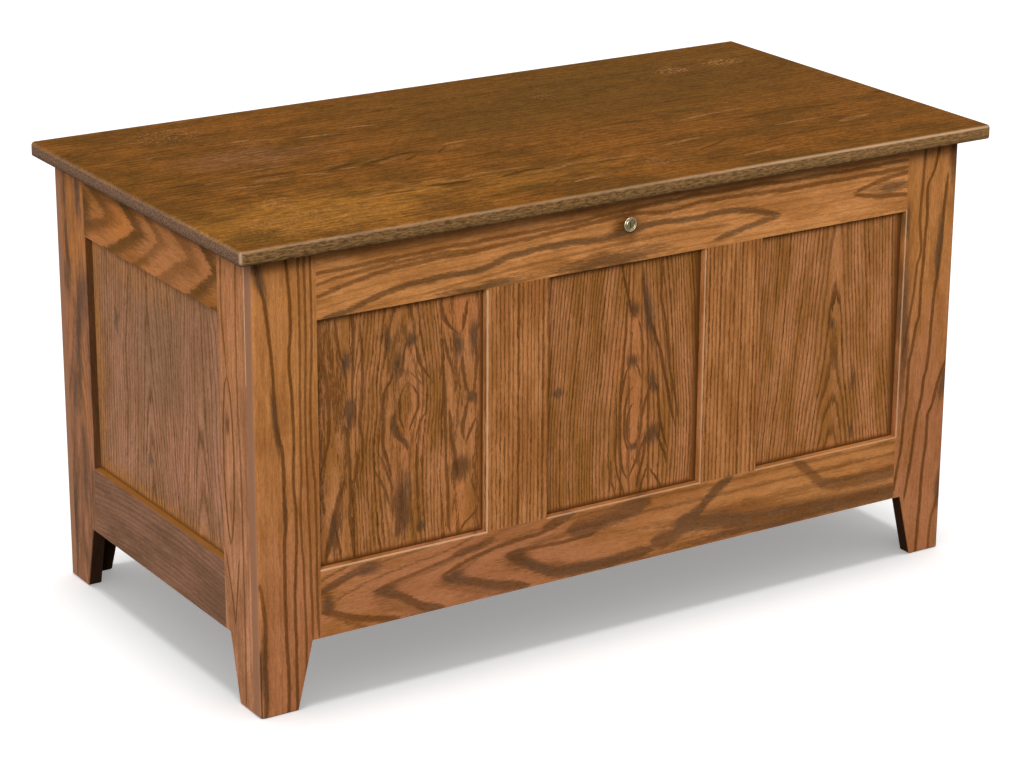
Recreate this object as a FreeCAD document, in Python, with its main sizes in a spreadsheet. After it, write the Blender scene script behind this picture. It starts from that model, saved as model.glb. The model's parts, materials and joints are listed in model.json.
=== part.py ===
import FreeCAD, Part
import math
import os
import re
import Sketcher

# Frame-and-panel oak blanket chest with a hinged lid, a hook-cam lock and two slotted lid stays.
# Millimetres.  +X is the chest's right-hand side seen from the front, +Y its back, +Z up.
# The origin is on the floor, at the middle of the space that the closed chest takes up.

os.makedirs("parts", exist_ok=True)
doc = FreeCAD.newDocument("blanket_chest")

SIZES = {
    # Body
    "body_width": 1060,
    "body_depth": 546,
    "body_height": 586,
    "board_thickness": 19,
    "floor_gap": 89,
    "corner_radius": 6,
    "foot_easing": 1.5,
    # Stiles, rails and mullions
    "front_stile_width": 85,
    "front_taper_width": 72.5,
    "front_foot_width": 51,
    "side_stile_width": 69,
    "side_taper_width": 57,
    "side_foot_width": 35,
    "top_rail_width": 90,
    "bottom_rail_width": 89,
    "mullion_width": 90,
    # Panels, grooves and stub tenons
    "panel_thickness": 6.3,
    "panel_recess": 10,
    "panel_side_clearance": 0.1,
    "panel_edge_gap": 1.5,
    "groove_depth": 9,
    "tenon_end_gap": 0.5,
    # Lid
    "lid_thickness": 19,
    "lid_front_overhang": 29,
    "lid_side_overhang": 29,
    "lid_back_overhang": 5,
    "lid_corner_radius": 6,
    "lid_top_round": 4.8,
    "lid_bottom_round": 3,
    "batten_width": 45,
    "batten_thickness": 19,
    "batten_round": 4,
    "batten_inset": 220,
    "batten_end_gap": 45,
    "batten_screw_inset": 40,
    "batten_screw_length": 32,
    # Chest floor
    "floor_thickness": 12,
    "floor_edge_gap": 0.5,
    "cleat_thickness": 19,
    "cleat_height": 19,
    "cleat_rise": 3,
    # Hinges
    "hinge_length": 90,
    "hinge_inset": 130,
    "hinge_let_in": 16,
    "hinge_hole_inset": 13,
    "hinge_edge_gap": 0.8,
    "leaf_thickness": 1.5,
    "leaf_gap": 0.1,
    "knuckle_radius": 3.6,
    "knuckle_gap": 0.3,
    "hinge_pin_radius": 1.8,
    "hinge_pin_head_radius": 2.8,
    "hinge_pin_head_height": 1.4,
    "pin_clearance": 0.05,
    # Countersunk screws
    "screw_radius": 1.6,
    "screw_head_radius": 3,
    "screw_head_height": 1.4,
    "screw_length": 14,
    "screw_clearance": 0.05,
    "driver_slot_width": 0.8,
    "driver_slot_depth": 0.7,
    # Lid stays
    "lid_open_angle": 95,
    "stay_reach": 150,
    "stay_pivot_drop": 14,
    "stay_stud_drop": 60,
    "stay_side_gap": 4,
    "stay_arm_width": 16,
    "stay_arm_thickness": 2,
    "stay_face_gap": 0.3,
    "stay_slot_clearance": 0.25,
    "stay_slot_lead": 4,
    "stay_pivot_radius": 2.5,
    "stay_pivot_head_radius": 4.6,
    "stay_pivot_head_height": 1.4,
    "stay_stud_radius": 3,
    "stay_stud_head_radius": 6.5,
    "stay_stud_head_height": 2.4,
    "stay_stud_collar_radius": 5.5,
    "stay_stud_thread_radius": 2,
    "stay_stud_thread_length": 14,
    "bracket_thickness": 2,
    "bracket_plate_width": 22,
    "bracket_plate_length": 44,
    "bracket_screw_spacing": 30,
    "bracket_tab_radius": 8,
    # Lock
    "lock_drop": 40,
    "lock_face_radius": 9.5,
    "lock_face_height": 3,
    "lock_face_rim": 1.4,
    "lock_face_dish": 0.9,
    "lock_barrel_radius": 7.9,
    "lock_barrel_stand": 9,
    "lock_hole_clearance": 0.3,
    "lock_plug_radius": 5.75,
    "lock_plug_clearance": 0.05,
    "lock_plug_recess": 0.7,
    "lock_end_gap": 0.5,
    "keyway_width": 1.3,
    "keyway_height": 6.4,
    "keyway_depth": 12,
    "lock_tail_side": 6,
    "lock_tail_clearance": 0.05,
    "lock_nut_radius": 12.5,
    "lock_nut_height": 4,
    "cam_thickness": 2,
    "cam_hub_radius": 9,
    "cam_slot_radius": 27,
    "cam_finger_width": 4.5,
    "cam_web_width": 4,
    "cam_half_angle": 24,
    "cam_slot_back_angle": 9,
    "cam_slot_clearance": 0.7,
    "cam_screw_radius": 1.5,
    "cam_screw_length": 9,
    "cam_screw_head_radius": 4,
    "cam_screw_head_height": 2.2,
    # Keeper on the lid
    "keeper_gap": 2.6,
    "keeper_thickness": 2,
    "keeper_plate_width": 40,
    "keeper_plate_depth": 26,
    "keeper_screw_spacing": 26,
    "keeper_tab_width": 16,
    "keeper_tab_margin": 6,
    "keeper_pin_radius": 2.5,
    "keeper_pin_end": 1.2,
    "keeper_pin_head_radius": 4,
    "keeper_pin_head_height": 1.2,
}

# Sizes and places that follow from the ones above
DERIVED = {
    "front_y": "(lid_front_overhang - body_depth - lid_back_overhang - hinge_edge_gap) / 2 - knuckle_radius",
    "back_y": "front_y + body_depth",
    "axis_y": "back_y + lid_back_overhang + hinge_edge_gap + knuckle_radius",
    "inner_width": "body_width - 2 * board_thickness",
    "inner_depth": "body_depth - 2 * board_thickness",
    "opening_height": "body_height - floor_gap - bottom_rail_width - top_rail_width",
    "opening_bottom": "floor_gap + bottom_rail_width",
    "groove_width": "panel_thickness + 2 * panel_side_clearance",
    "groove_start": "panel_recess - panel_side_clearance",
    "panel_lap": "groove_depth - panel_edge_gap",
    "tenon_length": "groove_depth - tenon_end_gap",
    "lid_width": "body_width + 2 * lid_side_overhang",
    "lid_depth": "body_depth + lid_front_overhang + lid_back_overhang",
    "floor_bottom": "floor_gap + cleat_rise + cleat_height",
    "leaf_let_depth": "leaf_thickness + leaf_gap",
    "leaf_root": "knuckle_radius + knuckle_gap",
    "leaf_edge": "knuckle_radius + hinge_edge_gap + lid_back_overhang + hinge_let_in - leaf_gap",
    "leaf_hole": "knuckle_radius + hinge_edge_gap + lid_back_overhang + hinge_let_in / 2",
    "pilot_radius": "screw_radius + screw_clearance",
    "stay_swing": "sqrt(stay_reach ^ 2 + stay_pivot_drop ^ 2)",
    "stud_reach": "sqrt(stay_swing ^ 2 - stay_stud_drop ^ 2)",
    "open_reach": "stay_reach * cos(lid_open_angle) + stay_pivot_drop * sin(lid_open_angle)",
    "open_drop": "stay_pivot_drop * cos(lid_open_angle) - stay_reach * sin(lid_open_angle)",
    "closed_chord": "sqrt((stay_reach - stud_reach) ^ 2 + (stay_stud_drop - stay_pivot_drop) ^ 2)",
    "open_chord": "sqrt((open_reach - stud_reach) ^ 2 + (stay_stud_drop - open_drop) ^ 2)",
    "slot_half_width": "stay_stud_radius + stay_slot_clearance",
    "slot_start": "closed_chord - stay_slot_lead",
    "slot_end": "open_chord + stay_slot_clearance",
    "arm_inside": "board_thickness + stay_side_gap + stay_arm_thickness",
    "bracket_face": "arm_inside + stay_face_gap",
    "bracket_plate_centre": "bracket_face + bracket_plate_width / 2",
    "lock_barrel_length": "board_thickness + lock_barrel_stand",
    "plug_shoulder": "lock_barrel_length + lock_end_gap",
    "cam_slot_half_width": "keeper_pin_radius + cam_slot_clearance",
    "cam_slot_outer": "cam_slot_radius + cam_slot_half_width",
    "cam_slot_inner": "cam_slot_radius - cam_slot_half_width",
    "cam_outer": "cam_slot_outer + cam_finger_width",
    "keeper_start": "plug_shoulder + cam_thickness + keeper_gap",
    "keeper_pin_drop": "lock_drop - cam_slot_radius",
    "keeper_screw_y": "keeper_start + keeper_plate_depth / 2",
}

KNUCKLES = 5
BODY_KNUCKLES = (0, 2, 4)
LID_KNUCKLES = (1, 3)

sheet = doc.addObject("Spreadsheet::Sheet", "Sizes")
for row, (alias, value) in enumerate(SIZES.items(), start=1):
    sheet.set(f"A{row}", alias)
    sheet.set(f"B{row}", str(value))
    sheet.setAlias(f"B{row}", alias)
doc.recompute()


# ---------------------------------------------------------------- formulas and features

def formula(text):
    """Spell a size formula out in the cells of the sheet."""
    def spell(match):
        word = match.group(0)
        if word in DERIVED:
            return "(" + formula(DERIVED[word]) + ")"
        if word in SIZES:
            return "Sizes." + word
        return word
    return re.sub(r"[a-z][a-z_]*", spell, str(text))


def number(text):
    """The value of a size formula now."""
    return float(sheet.evalExpression(formula(text)))


def bind(item, prop, text):
    item.setExpression(prop, formula(text))


def place(item, x, y, z, rotation=None):
    """Turn an object and bind its place to the sheet."""
    item.Placement = FreeCAD.Placement(FreeCAD.Vector(), rotation or FreeCAD.Rotation())
    for axis, text in zip("xyz", (x, y, z)):
        bind(item, "Placement.Base." + axis, text)


def turned(axis, degrees):
    return FreeCAD.Rotation(FreeCAD.Vector(*axis), degrees)


# The primitives stand along their own +Z, and these rotations lay them along another axis.
ALONG = {"x": turned((0, 1, 0), 90), "y": turned((1, 0, 0), -90), "z": turned((0, 0, 1), 0)}
FACING_FRONT = turned((1, 0, 0), 90)


def new_body(name):
    body = doc.addObject("PartDesign::Body", name)
    body.Label = name
    return body


def origin_plane(body, role):
    return next(item for item in body.Origin.OriginFeatures if item.Role == role)


def outline(body, role, points):
    """A closed sketch whose corners are bound, one by one, to size formulas."""
    sketch = body.newObject("Sketcher::SketchObject", "Outline")
    sketch.AttachmentSupport = [(origin_plane(body, role), "")]
    sketch.MapMode = "FlatFace"
    corners = [FreeCAD.Vector(number(across), number(up), 0) for across, up in points]
    count = len(corners)
    for index, corner in enumerate(corners):
        sketch.addGeometry(Part.LineSegment(corner, corners[(index + 1) % count]), False)
    for index in range(count):
        sketch.addConstraint(Sketcher.Constraint("Coincident", index, 2, (index + 1) % count, 1))
    for index, (across, up) in enumerate(points):
        for kind, text in (("DistanceX", across), ("DistanceY", up)):
            constraint = Sketcher.Constraint(kind, -1, 1, index, 1, number(text))
            bind(sketch, f"Constraints[{sketch.addConstraint(constraint)}]", text)
    return sketch


def pad(body, role, points, length, backwards=False):
    feature = body.newObject("PartDesign::Pad", "Pad")
    feature.Profile = outline(body, role, points)
    feature.Reversed = backwards
    bind(feature, "Length", length)
    return feature


def turn(body, points):
    """Turn an outline of (radius, height) points round the body's own Z axis."""
    profile = outline(body, "XZ_Plane", points)
    feature = body.newObject("PartDesign::Revolution", "Turning")
    feature.Profile = profile
    feature.ReferenceAxis = (profile, ["V_Axis"])
    feature.Angle = 360
    return feature


def primitive(body, kind, sizes, start, rotation=None):
    feature = body.newObject("PartDesign::" + kind, kind)
    for prop, text in sizes.items():
        bind(feature, prop, text)
    place(feature, *start, rotation)
    return feature


def block(body, corner, sides, cut=False):
    kind = "SubtractiveBox" if cut else "AdditiveBox"
    return primitive(body, kind, dict(zip(("Length", "Width", "Height"), sides)), corner)


def rod(body, start, radius, length, along, cut=False):
    kind = "SubtractiveCylinder" if cut else "AdditiveCylinder"
    return primitive(body, kind, {"Radius": radius, "Height": length}, start, ALONG[along])


def countersink(body, start, low_radius, high_radius, height):
    sizes = {"Radius1": low_radius, "Radius2": high_radius, "Height": height}
    return primitive(body, "SubtractiveCone", sizes, start)


def ease(body, kind, size, wanted):
    """Fillet or chamfer every edge that the test picks out."""
    doc.recompute()
    base = body.Tip
    edges = [f"Edge{index}" for index, edge in enumerate(base.Shape.Edges, start=1) if wanted(edge)]
    feature = body.newObject("PartDesign::" + kind, kind)
    feature.Base = (base, edges)
    bind(feature, "Radius" if kind == "Fillet" else "Size", size)
    return feature


def ends_match(edge, test):
    return all(test(vertex.Point) for vertex in edge.Vertexes)


def upright_at(x, y):
    def test(point):
        return abs(point.x - x) < 0.01 and abs(point.y - y) < 0.01
    return lambda edge: ends_match(edge, test)


def level_at(z):
    return lambda edge: ends_match(edge, lambda point: abs(point.z - z) < 0.01)


nodes = []


def finish(item):
    """Keep an object as one of the chest's sub-parts."""
    nodes.append(item)
    return item


def feature_group(name, shapes):
    """Separate like solids that share one node."""
    item = doc.addObject("Part::Feature", name)
    item.Label = name
    item.Shape = Part.makeCompound(shapes)
    return finish(item)


def copies(master, spots, rotation=None):
    """Copies of a master's solid at (x, y, z) formulas."""
    shapes = []
    for spot in spots:
        shape = master.Shape.copy()
        base = FreeCAD.Vector(*[number(text) for text in spot])
        shape.Placement = FreeCAD.Placement(base, rotation or FreeCAD.Rotation())
        shapes.append(shape)
    return shapes


# ---------------------------------------------------------------- frames and panels

# A frame is described as seen from outside the chest: its members run from its left end,
# "corner" is that end's place, and "step" is the way along the frame in the chest's X and Y.
FRAMES = {
    "front": {
        "width": "body_width", "stile": "front_stile_width", "rounded": True,
        "taper": "front_taper_width", "foot": "front_foot_width",
        "corner": ("-body_width / 2", "front_y"), "step": (1, 0), "turn": 0,
        "ends": ("left", "right"), "panels": ("_left", "_middle", "_right"),
    },
    "back": {
        "width": "body_width", "stile": "front_stile_width", "rounded": True,
        "taper": "front_taper_width", "foot": "front_foot_width",
        "corner": ("body_width / 2", "back_y"), "step": (-1, 0), "turn": 180,
        "ends": ("right", "left"), "panels": ("_right", "_middle", "_left"),
    },
    "left": {
        "width": "inner_depth", "stile": "side_stile_width", "rounded": False,
        "taper": "side_taper_width", "foot": "side_foot_width",
        "corner": ("-body_width / 2", "back_y - board_thickness"), "step": (0, -1), "turn": -90,
        "ends": ("back", "front"), "panels": ("",),
    },
    "right": {
        "width": "inner_depth", "stile": "side_stile_width", "rounded": False,
        "taper": "side_taper_width", "foot": "side_foot_width",
        "corner": ("body_width / 2", "front_y + board_thickness"), "step": (0, 1), "turn": 90,
        "ends": ("front", "back"), "panels": ("",),
    },
}


def set_in_frame(body, frame, along, up):
    """Place a member a distance along its frame and above the floor."""
    (corner_x, corner_y), (step_x, step_y) = frame["corner"], frame["step"]
    x = f"{corner_x} + {step_x} * ({along})"
    y = f"{corner_y} + {step_y} * ({along})"
    place(body, x, y, up, turned((0, 0, 1), frame["turn"]))
    return finish(body)


def make_stile(name, frame, far_end):
    """A corner board that runs down as a leg: a small step under the rail, then a taper."""
    body = new_body(name)
    width = frame["stile"]
    corners = [("0", "0"), (frame["foot"], "0"), (frame["taper"], "floor_gap"),
               (width, "floor_gap"), (width, "body_height"), ("0", "body_height")]
    if far_end:
        corners = [(f"{width} - {across}", up) for across, up in corners]
    pad(body, "XZ_Plane", corners, "board_thickness", backwards=True)
    groove_x = "0" if far_end else f"{width} - groove_depth"
    groove = ("groove_depth", "groove_width", "body_height - floor_gap")
    block(body, (groove_x, "groove_start", "floor_gap"), groove, cut=True)
    if frame["rounded"]:
        outer_x = number(width) if far_end else 0
        ease(body, "Fillet", "corner_radius", upright_at(outer_x, 0))
    ease(body, "Chamfer", "foot_easing", level_at(0))
    along = f"{frame['width']} - {width}" if far_end else "0"
    return set_in_frame(body, frame, along, "0")


def make_rail(name, frame, length, width, groove_z):
    """A rail with a stub tenon at each end and a panel groove along one edge."""
    body = new_body(name)
    block(body, ("0", "0", "0"), (length, "board_thickness", width))
    for tenon_x in ("-tenon_length", length):
        block(body, (tenon_x, "panel_recess", "0"), ("tenon_length", "panel_thickness", width))
    groove = (f"{length} + 2 * tenon_length", "groove_width", "groove_depth")
    block(body, ("-tenon_length", "groove_start", groove_z), groove, cut=True)
    return body


def make_mullion(name, frame, along):
    """An upright between two panels, tenoned into both rails and grooved on both edges."""
    body = new_body(name)
    tenoned_height = "opening_height + 2 * tenon_length"
    block(body, ("0", "0", "0"), ("mullion_width", "board_thickness", "opening_height"))
    block(body, ("0", "panel_recess", "-tenon_length"),
          ("mullion_width", "panel_thickness", tenoned_height))
    for groove_x in ("0", "mullion_width - groove_depth"):
        block(body, (groove_x, "groove_start", "-tenon_length"),
              ("groove_depth", "groove_width", tenoned_height), cut=True)
    return set_in_frame(body, frame, along, "opening_bottom")


def make_panel(name, frame, along, width):
    """A flat panel that floats in the grooves round its opening."""
    body = new_body(name)
    corners = [("-panel_lap", "-panel_lap"), (f"{width} + panel_lap", "-panel_lap"),
               (f"{width} + panel_lap", "opening_height + panel_lap"),
               ("-panel_lap", "opening_height + panel_lap")]
    pad(body, "XZ_Plane", corners, "panel_thickness", backwards=True)
    (corner_x, corner_y), (step_x, step_y) = frame["corner"], frame["step"]
    # The panel's face lies panel_recess behind the frame's, on the frame's inward side.
    x = f"{corner_x} + {step_x} * ({along}) - {step_y} * panel_recess"
    y = f"{corner_y} + {step_y} * ({along}) + {step_x} * panel_recess"
    place(body, x, y, "opening_bottom", turned((0, 0, 1), frame["turn"]))
    return finish(body)


def make_frame(side, frame):
    """All the members of one face of the chest; returns its top rail, still open to cuts."""
    stile = frame["stile"]
    for far_end, end in enumerate(frame["ends"]):
        make_stile(f"{side}_stile_{end}", frame, bool(far_end))
    length = f"({frame['width']} - 2 * {stile})"
    bottom_rail = make_rail(f"{side}_bottom_rail", frame, length, "bottom_rail_width",
                            "bottom_rail_width - groove_depth")
    set_in_frame(bottom_rail, frame, stile, "floor_gap")
    top_rail = make_rail(f"{side}_top_rail", frame, length, "top_rail_width", "0")
    set_in_frame(top_rail, frame, stile, "body_height - top_rail_width")
    count = len(frame["panels"])
    opening = f"(({length} - {count - 1} * mullion_width) / {count})"
    for index, panel in enumerate(frame["panels"]):
        along = f"{stile} + {index} * ({opening} + mullion_width)"
        make_panel(f"{side}_panel{panel}", frame, along, opening)
        if index + 1 < count:
            end = frame["ends"][0] if index == 0 else frame["ends"][1]
            make_mullion(f"{side}_mullion_{end}", frame, f"{along} + {opening}")
    return top_rail


top_rails = {side: make_frame(side, frame) for side, frame in FRAMES.items()}


# ---------------------------------------------------------------- chest floor

def make_box(name, corner, sides):
    body = new_body(name)
    block(body, ("0", "0", "0"), sides)
    place(body, *corner)
    return finish(body)


cleat_z = "floor_gap + cleat_rise"
long_cleat = ("inner_width", "cleat_thickness", "cleat_height")
short_cleat = ("cleat_thickness", "inner_depth - 2 * cleat_thickness", "cleat_height")
short_cleat_y = "front_y + board_thickness + cleat_thickness"
make_box("floor_cleat_front", ("-inner_width / 2", "front_y + board_thickness", cleat_z), long_cleat)
make_box("floor_cleat_back",
         ("-inner_width / 2", "back_y - board_thickness - cleat_thickness", cleat_z), long_cleat)
make_box("floor_cleat_left", ("-inner_width / 2", short_cleat_y, cleat_z), short_cleat)
make_box("floor_cleat_right", ("inner_width / 2 - cleat_thickness", short_cleat_y, cleat_z), short_cleat)
make_box("floor_panel",
         ("-inner_width / 2 + floor_edge_gap", "front_y + board_thickness + floor_edge_gap",
          "floor_bottom"),
         ("inner_width - 2 * floor_edge_gap", "inner_depth - 2 * floor_edge_gap", "floor_thickness"))


# ---------------------------------------------------------------- screw places

# Hinge places along X, each the left end of a hinge, and the hole places along one hinge
HINGES = {"left": "-body_width / 2 + hinge_inset", "right": "body_width / 2 - hinge_inset - hinge_length"}
HINGE_HOLES = ("hinge_hole_inset", "hinge_length / 2", "hinge_length - hinge_hole_inset")
BATTENS = {"left": "-body_width / 2 + batten_inset", "right": "body_width / 2 - batten_inset"}
BATTEN_LENGTH = "(inner_depth - 2 * batten_end_gap)"
BATTEN_START = "(front_y + board_thickness + batten_end_gap)"
BATTEN_HOLES = ("batten_screw_inset", f"{BATTEN_LENGTH} / 2", f"{BATTEN_LENGTH} - batten_screw_inset")
SIDES = {"left": -1, "right": 1}
STAY_Y = "(axis_y - stay_reach)"

bracket_spots = [(f"{sign} * (body_width / 2 - bracket_plate_centre)",
                  f"{STAY_Y} + {end} * bracket_screw_spacing / 2", "body_height - bracket_thickness")
                 for sign in SIDES.values() for end in (-1, 1)]
keeper_spots = [(f"{end} * keeper_screw_spacing / 2", "front_y + keeper_screw_y",
                 "body_height - keeper_thickness") for end in (-1, 1)]
hinge_spots = [(f"{start} + {hole}", "axis_y - leaf_hole") for start in HINGES.values()
               for hole in HINGE_HOLES]
batten_spots = [(centre, f"{BATTEN_START} + {hole}", "body_height - batten_thickness")
                for centre in BATTENS.values() for hole in BATTEN_HOLES]


# ---------------------------------------------------------------- lid

def make_lid():
    """A solid top with rounded-over edges, let in underneath for its hinge leaves."""
    body = new_body("lid")
    pad(body, "XY_Plane", [("0", "0"), ("lid_width", "0"), ("lid_width", "lid_depth"), ("0", "lid_depth")],
        "lid_thickness")
    ease(body, "Fillet", "lid_corner_radius",
         lambda edge: abs(edge.Vertexes[0].Z - edge.Vertexes[-1].Z) > 0.01)
    ease(body, "Fillet", "lid_top_round", level_at(number("lid_thickness")))
    ease(body, "Fillet", "lid_bottom_round", level_at(0))
    for start in HINGES.values():
        corner = (f"lid_width / 2 + {start} - leaf_gap", "lid_depth - lid_back_overhang - hinge_let_in", "0")
        sides = ("hinge_length + 2 * leaf_gap", "lid_back_overhang + hinge_let_in", "leaf_let_depth")
        block(body, corner, sides, cut=True)
    to_lid_y = "lid_front_overhang - front_y"
    for x, y, z in bracket_spots + keeper_spots:
        start = (f"lid_width / 2 + {x}", f"{y} + {to_lid_y}", "0")
        rod(body, start, "pilot_radius", "screw_length", "z", cut=True)
    for x, y in hinge_spots:
        start = (f"lid_width / 2 + {x}", f"{y} + {to_lid_y}", "0")
        rod(body, start, "pilot_radius", "screw_length + leaf_gap", "z", cut=True)
    for x, y, z in batten_spots:
        start = (f"lid_width / 2 + {x}", f"{y} + {to_lid_y}", "0")
        depth = "batten_screw_length - batten_thickness"
        rod(body, start, "pilot_radius", depth, "z", cut=True)
    place(body, "-lid_width / 2", "front_y - lid_front_overhang", "body_height")
    return finish(body)


def make_batten(side, centre):
    """A cross batten screwed up into the lid to keep it flat."""
    body = new_body(f"lid_batten_{side}")
    block(body, ("0", "0", "0"), ("batten_width", BATTEN_LENGTH, "batten_thickness"))
    ease(body, "Fillet", "batten_round", level_at(0))
    for hole in BATTEN_HOLES:
        rod(body, ("batten_width / 2", hole, "0"), "pilot_radius", "batten_thickness", "z", cut=True)
        countersink(body, ("batten_width / 2", hole, "0"), "screw_head_radius + screw_clearance",
                    "pilot_radius", "screw_head_height + screw_clearance")
    place(body, f"{centre} - batten_width / 2", BATTEN_START, "body_height - batten_thickness")
    return finish(body)


make_lid()
for side, centre in BATTENS.items():
    make_batten(side, centre)


# ---------------------------------------------------------------- screws

def make_screw(name, length):
    """A slotted countersunk screw, its head's face at the top, its point down."""
    body = new_body(name)
    turn(body, [("0", "0"), ("screw_head_radius", "0"), ("screw_radius", "-screw_head_height"),
                ("screw_radius", f"-{length} + 2 * screw_radius"), ("0", f"-{length}")])
    slot = ("2 * screw_head_radius", "driver_slot_width", "driver_slot_depth")
    block(body, ("-screw_head_radius", "-driver_slot_width / 2", "-driver_slot_depth"), slot, cut=True)
    doc.recompute()
    return body


leaf_screw = make_screw("leaf_screw_master", "screw_length")
batten_screw = make_screw("batten_screw_master", "batten_screw_length")
POINT_UP = turned((1, 0, 0), 180)

feature_group("hinge_body_screws", copies(leaf_screw, [(x, y, "body_height - leaf_gap")
                                                       for x, y in hinge_spots]))
feature_group("hinge_lid_screws", copies(leaf_screw, [(x, y, "body_height + leaf_gap")
                                                      for x, y in hinge_spots], POINT_UP))
feature_group("stay_bracket_screws", copies(leaf_screw, bracket_spots, POINT_UP))
feature_group("lock_keeper_screws", copies(leaf_screw, keeper_spots, POINT_UP))
feature_group("lid_batten_screws", copies(batten_screw, batten_spots, POINT_UP))


# ---------------------------------------------------------------- hinges

def make_leaf(name, start, knuckles, on_lid):
    """A butt hinge's leaf: the pin's axis is the body's X axis, and the leaf reaches forwards."""
    body = new_body(name)
    leaf_z = "leaf_gap" if on_lid else "-leaf_gap - leaf_thickness"
    block(body, ("0", "-leaf_edge", leaf_z), ("hinge_length", "leaf_edge - leaf_root", "leaf_thickness"))
    for index in knuckles:
        knuckle_x = f"{index} * hinge_length / {KNUCKLES} + knuckle_gap / 2"
        knuckle_length = f"hinge_length / {KNUCKLES} - knuckle_gap"
        block(body, (knuckle_x, "-leaf_root", leaf_z), (knuckle_length, "leaf_root", "leaf_thickness"))
        rod(body, (knuckle_x, "0", "0"), "knuckle_radius", knuckle_length, "x")
    rod(body, ("0", "0", "0"), "hinge_pin_radius + pin_clearance", "hinge_length", "x", cut=True)
    wide = "screw_head_radius + screw_clearance"
    for hole in HINGE_HOLES:
        low, high = (wide, "pilot_radius") if on_lid else ("pilot_radius", wide)
        countersink(body, (hole, "-leaf_hole", leaf_z), low, high, "leaf_thickness")
    place(body, start, "axis_y", "body_height")
    return finish(body)


def make_pin_master():
    """A hinge pin with a domed head at each end, lying along X once it is placed."""
    body = new_body("hinge_pin_master")
    length = "hinge_length"
    turn(body, [("0", "-hinge_pin_head_height"),
                ("hinge_pin_head_radius / 2", "-hinge_pin_head_height"),
                ("hinge_pin_head_radius", "-hinge_pin_head_height / 2"),
                ("hinge_pin_head_radius", "0"), ("hinge_pin_radius", "0"),
                ("hinge_pin_radius", length), ("hinge_pin_head_radius", length),
                ("hinge_pin_head_radius", f"{length} + hinge_pin_head_height / 2"),
                ("hinge_pin_head_radius / 2", f"{length} + hinge_pin_head_height"),
                ("0", f"{length} + hinge_pin_head_height")])
    doc.recompute()
    return body


for side, start in HINGES.items():
    make_leaf(f"hinge_{side}_body_leaf", start, BODY_KNUCKLES, on_lid=False)
    make_leaf(f"hinge_{side}_lid_leaf", start, LID_KNUCKLES, on_lid=True)
pin_spots = [(start, "axis_y", "body_height") for start in HINGES.values()]
feature_group("hinge_pins", copies(make_pin_master(), pin_spots, ALONG["x"]))

# The back top rail is let in and drilled for the hinges, measured from its own left shoulder.
back_rail = top_rails["back"]
for start in HINGES.values():
    corner_x = f"body_width / 2 + {start} - front_stile_width - leaf_gap"
    block(back_rail, (corner_x, "0", "top_rail_width - leaf_let_depth"),
          ("hinge_length + 2 * leaf_gap", "hinge_let_in", "leaf_let_depth"), cut=True)
for x, y in hinge_spots:
    start = (f"body_width / 2 + {x} - front_stile_width", "hinge_let_in / 2",
             "top_rail_width - screw_length - leaf_gap")
    rod(back_rail, start, "pilot_radius", "screw_length + leaf_gap", "z", cut=True)


# ---------------------------------------------------------------- lid stays

def make_stay_arm(side, sign):
    """A flat slotted arm that hangs from the lid's bracket and slides over the side's stud."""
    body = new_body(f"stay_arm_{side}")
    thickness = "stay_arm_thickness"
    rod(body, ("0", "0", "0"), "stay_arm_width / 2", thickness, "x")
    block(body, ("0", "-stay_arm_width / 2", "-slot_end"), (thickness, "stay_arm_width", "slot_end"))
    rod(body, ("0", "0", "-slot_end"), "stay_arm_width / 2", thickness, "x")
    rod(body, ("0", "0", "0"), "stay_pivot_radius + pin_clearance", thickness, "x", cut=True)
    for end in ("slot_start", "slot_end"):
        rod(body, ("0", "0", f"-{end}"), "slot_half_width", thickness, "x", cut=True)
    block(body, ("0", "-slot_half_width", "-slot_end"),
          (thickness, "2 * slot_half_width", "slot_end - slot_start"), cut=True)
    tilt = math.degrees(math.atan2(number("stay_reach - stud_reach"),
                                   number("stay_stud_drop - stay_pivot_drop")))
    x = "-body_width / 2 + arm_inside - stay_arm_thickness" if sign < 0 else "body_width / 2 - arm_inside"
    place(body, x, STAY_Y, "body_height - stay_pivot_drop", turned((1, 0, 0), tilt))
    return finish(body)


def make_stay_bracket(side, sign):
    """An angle bracket under the lid: a screwed plate and a rounded tab for the arm's pivot."""
    body = new_body(f"stay_bracket_{side}")
    inwards = "0" if sign < 0 else "-bracket_plate_width"
    tab_x = "0" if sign < 0 else "-bracket_thickness"
    block(body, (inwards, "-bracket_plate_length / 2", "stay_pivot_drop - bracket_thickness"),
          ("bracket_plate_width", "bracket_plate_length", "bracket_thickness"))
    block(body, (tab_x, "-bracket_tab_radius", "0"),
          ("bracket_thickness", "2 * bracket_tab_radius", "stay_pivot_drop"))
    rod(body, (tab_x, "0", "0"), "bracket_tab_radius", "bracket_thickness", "x")
    rod(body, (tab_x, "0", "0"), "stay_pivot_radius + pin_clearance", "bracket_thickness", "x", cut=True)
    for end in (-1, 1):
        start = (f"{-sign} * bracket_plate_width / 2", f"{end} * bracket_screw_spacing / 2",
                 "stay_pivot_drop - bracket_thickness")
        countersink(body, start, "screw_head_radius + screw_clearance", "pilot_radius",
                    "bracket_thickness")
    place(body, f"{sign} * (body_width / 2 - bracket_face)", STAY_Y, "body_height - stay_pivot_drop")
    return finish(body)


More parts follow.
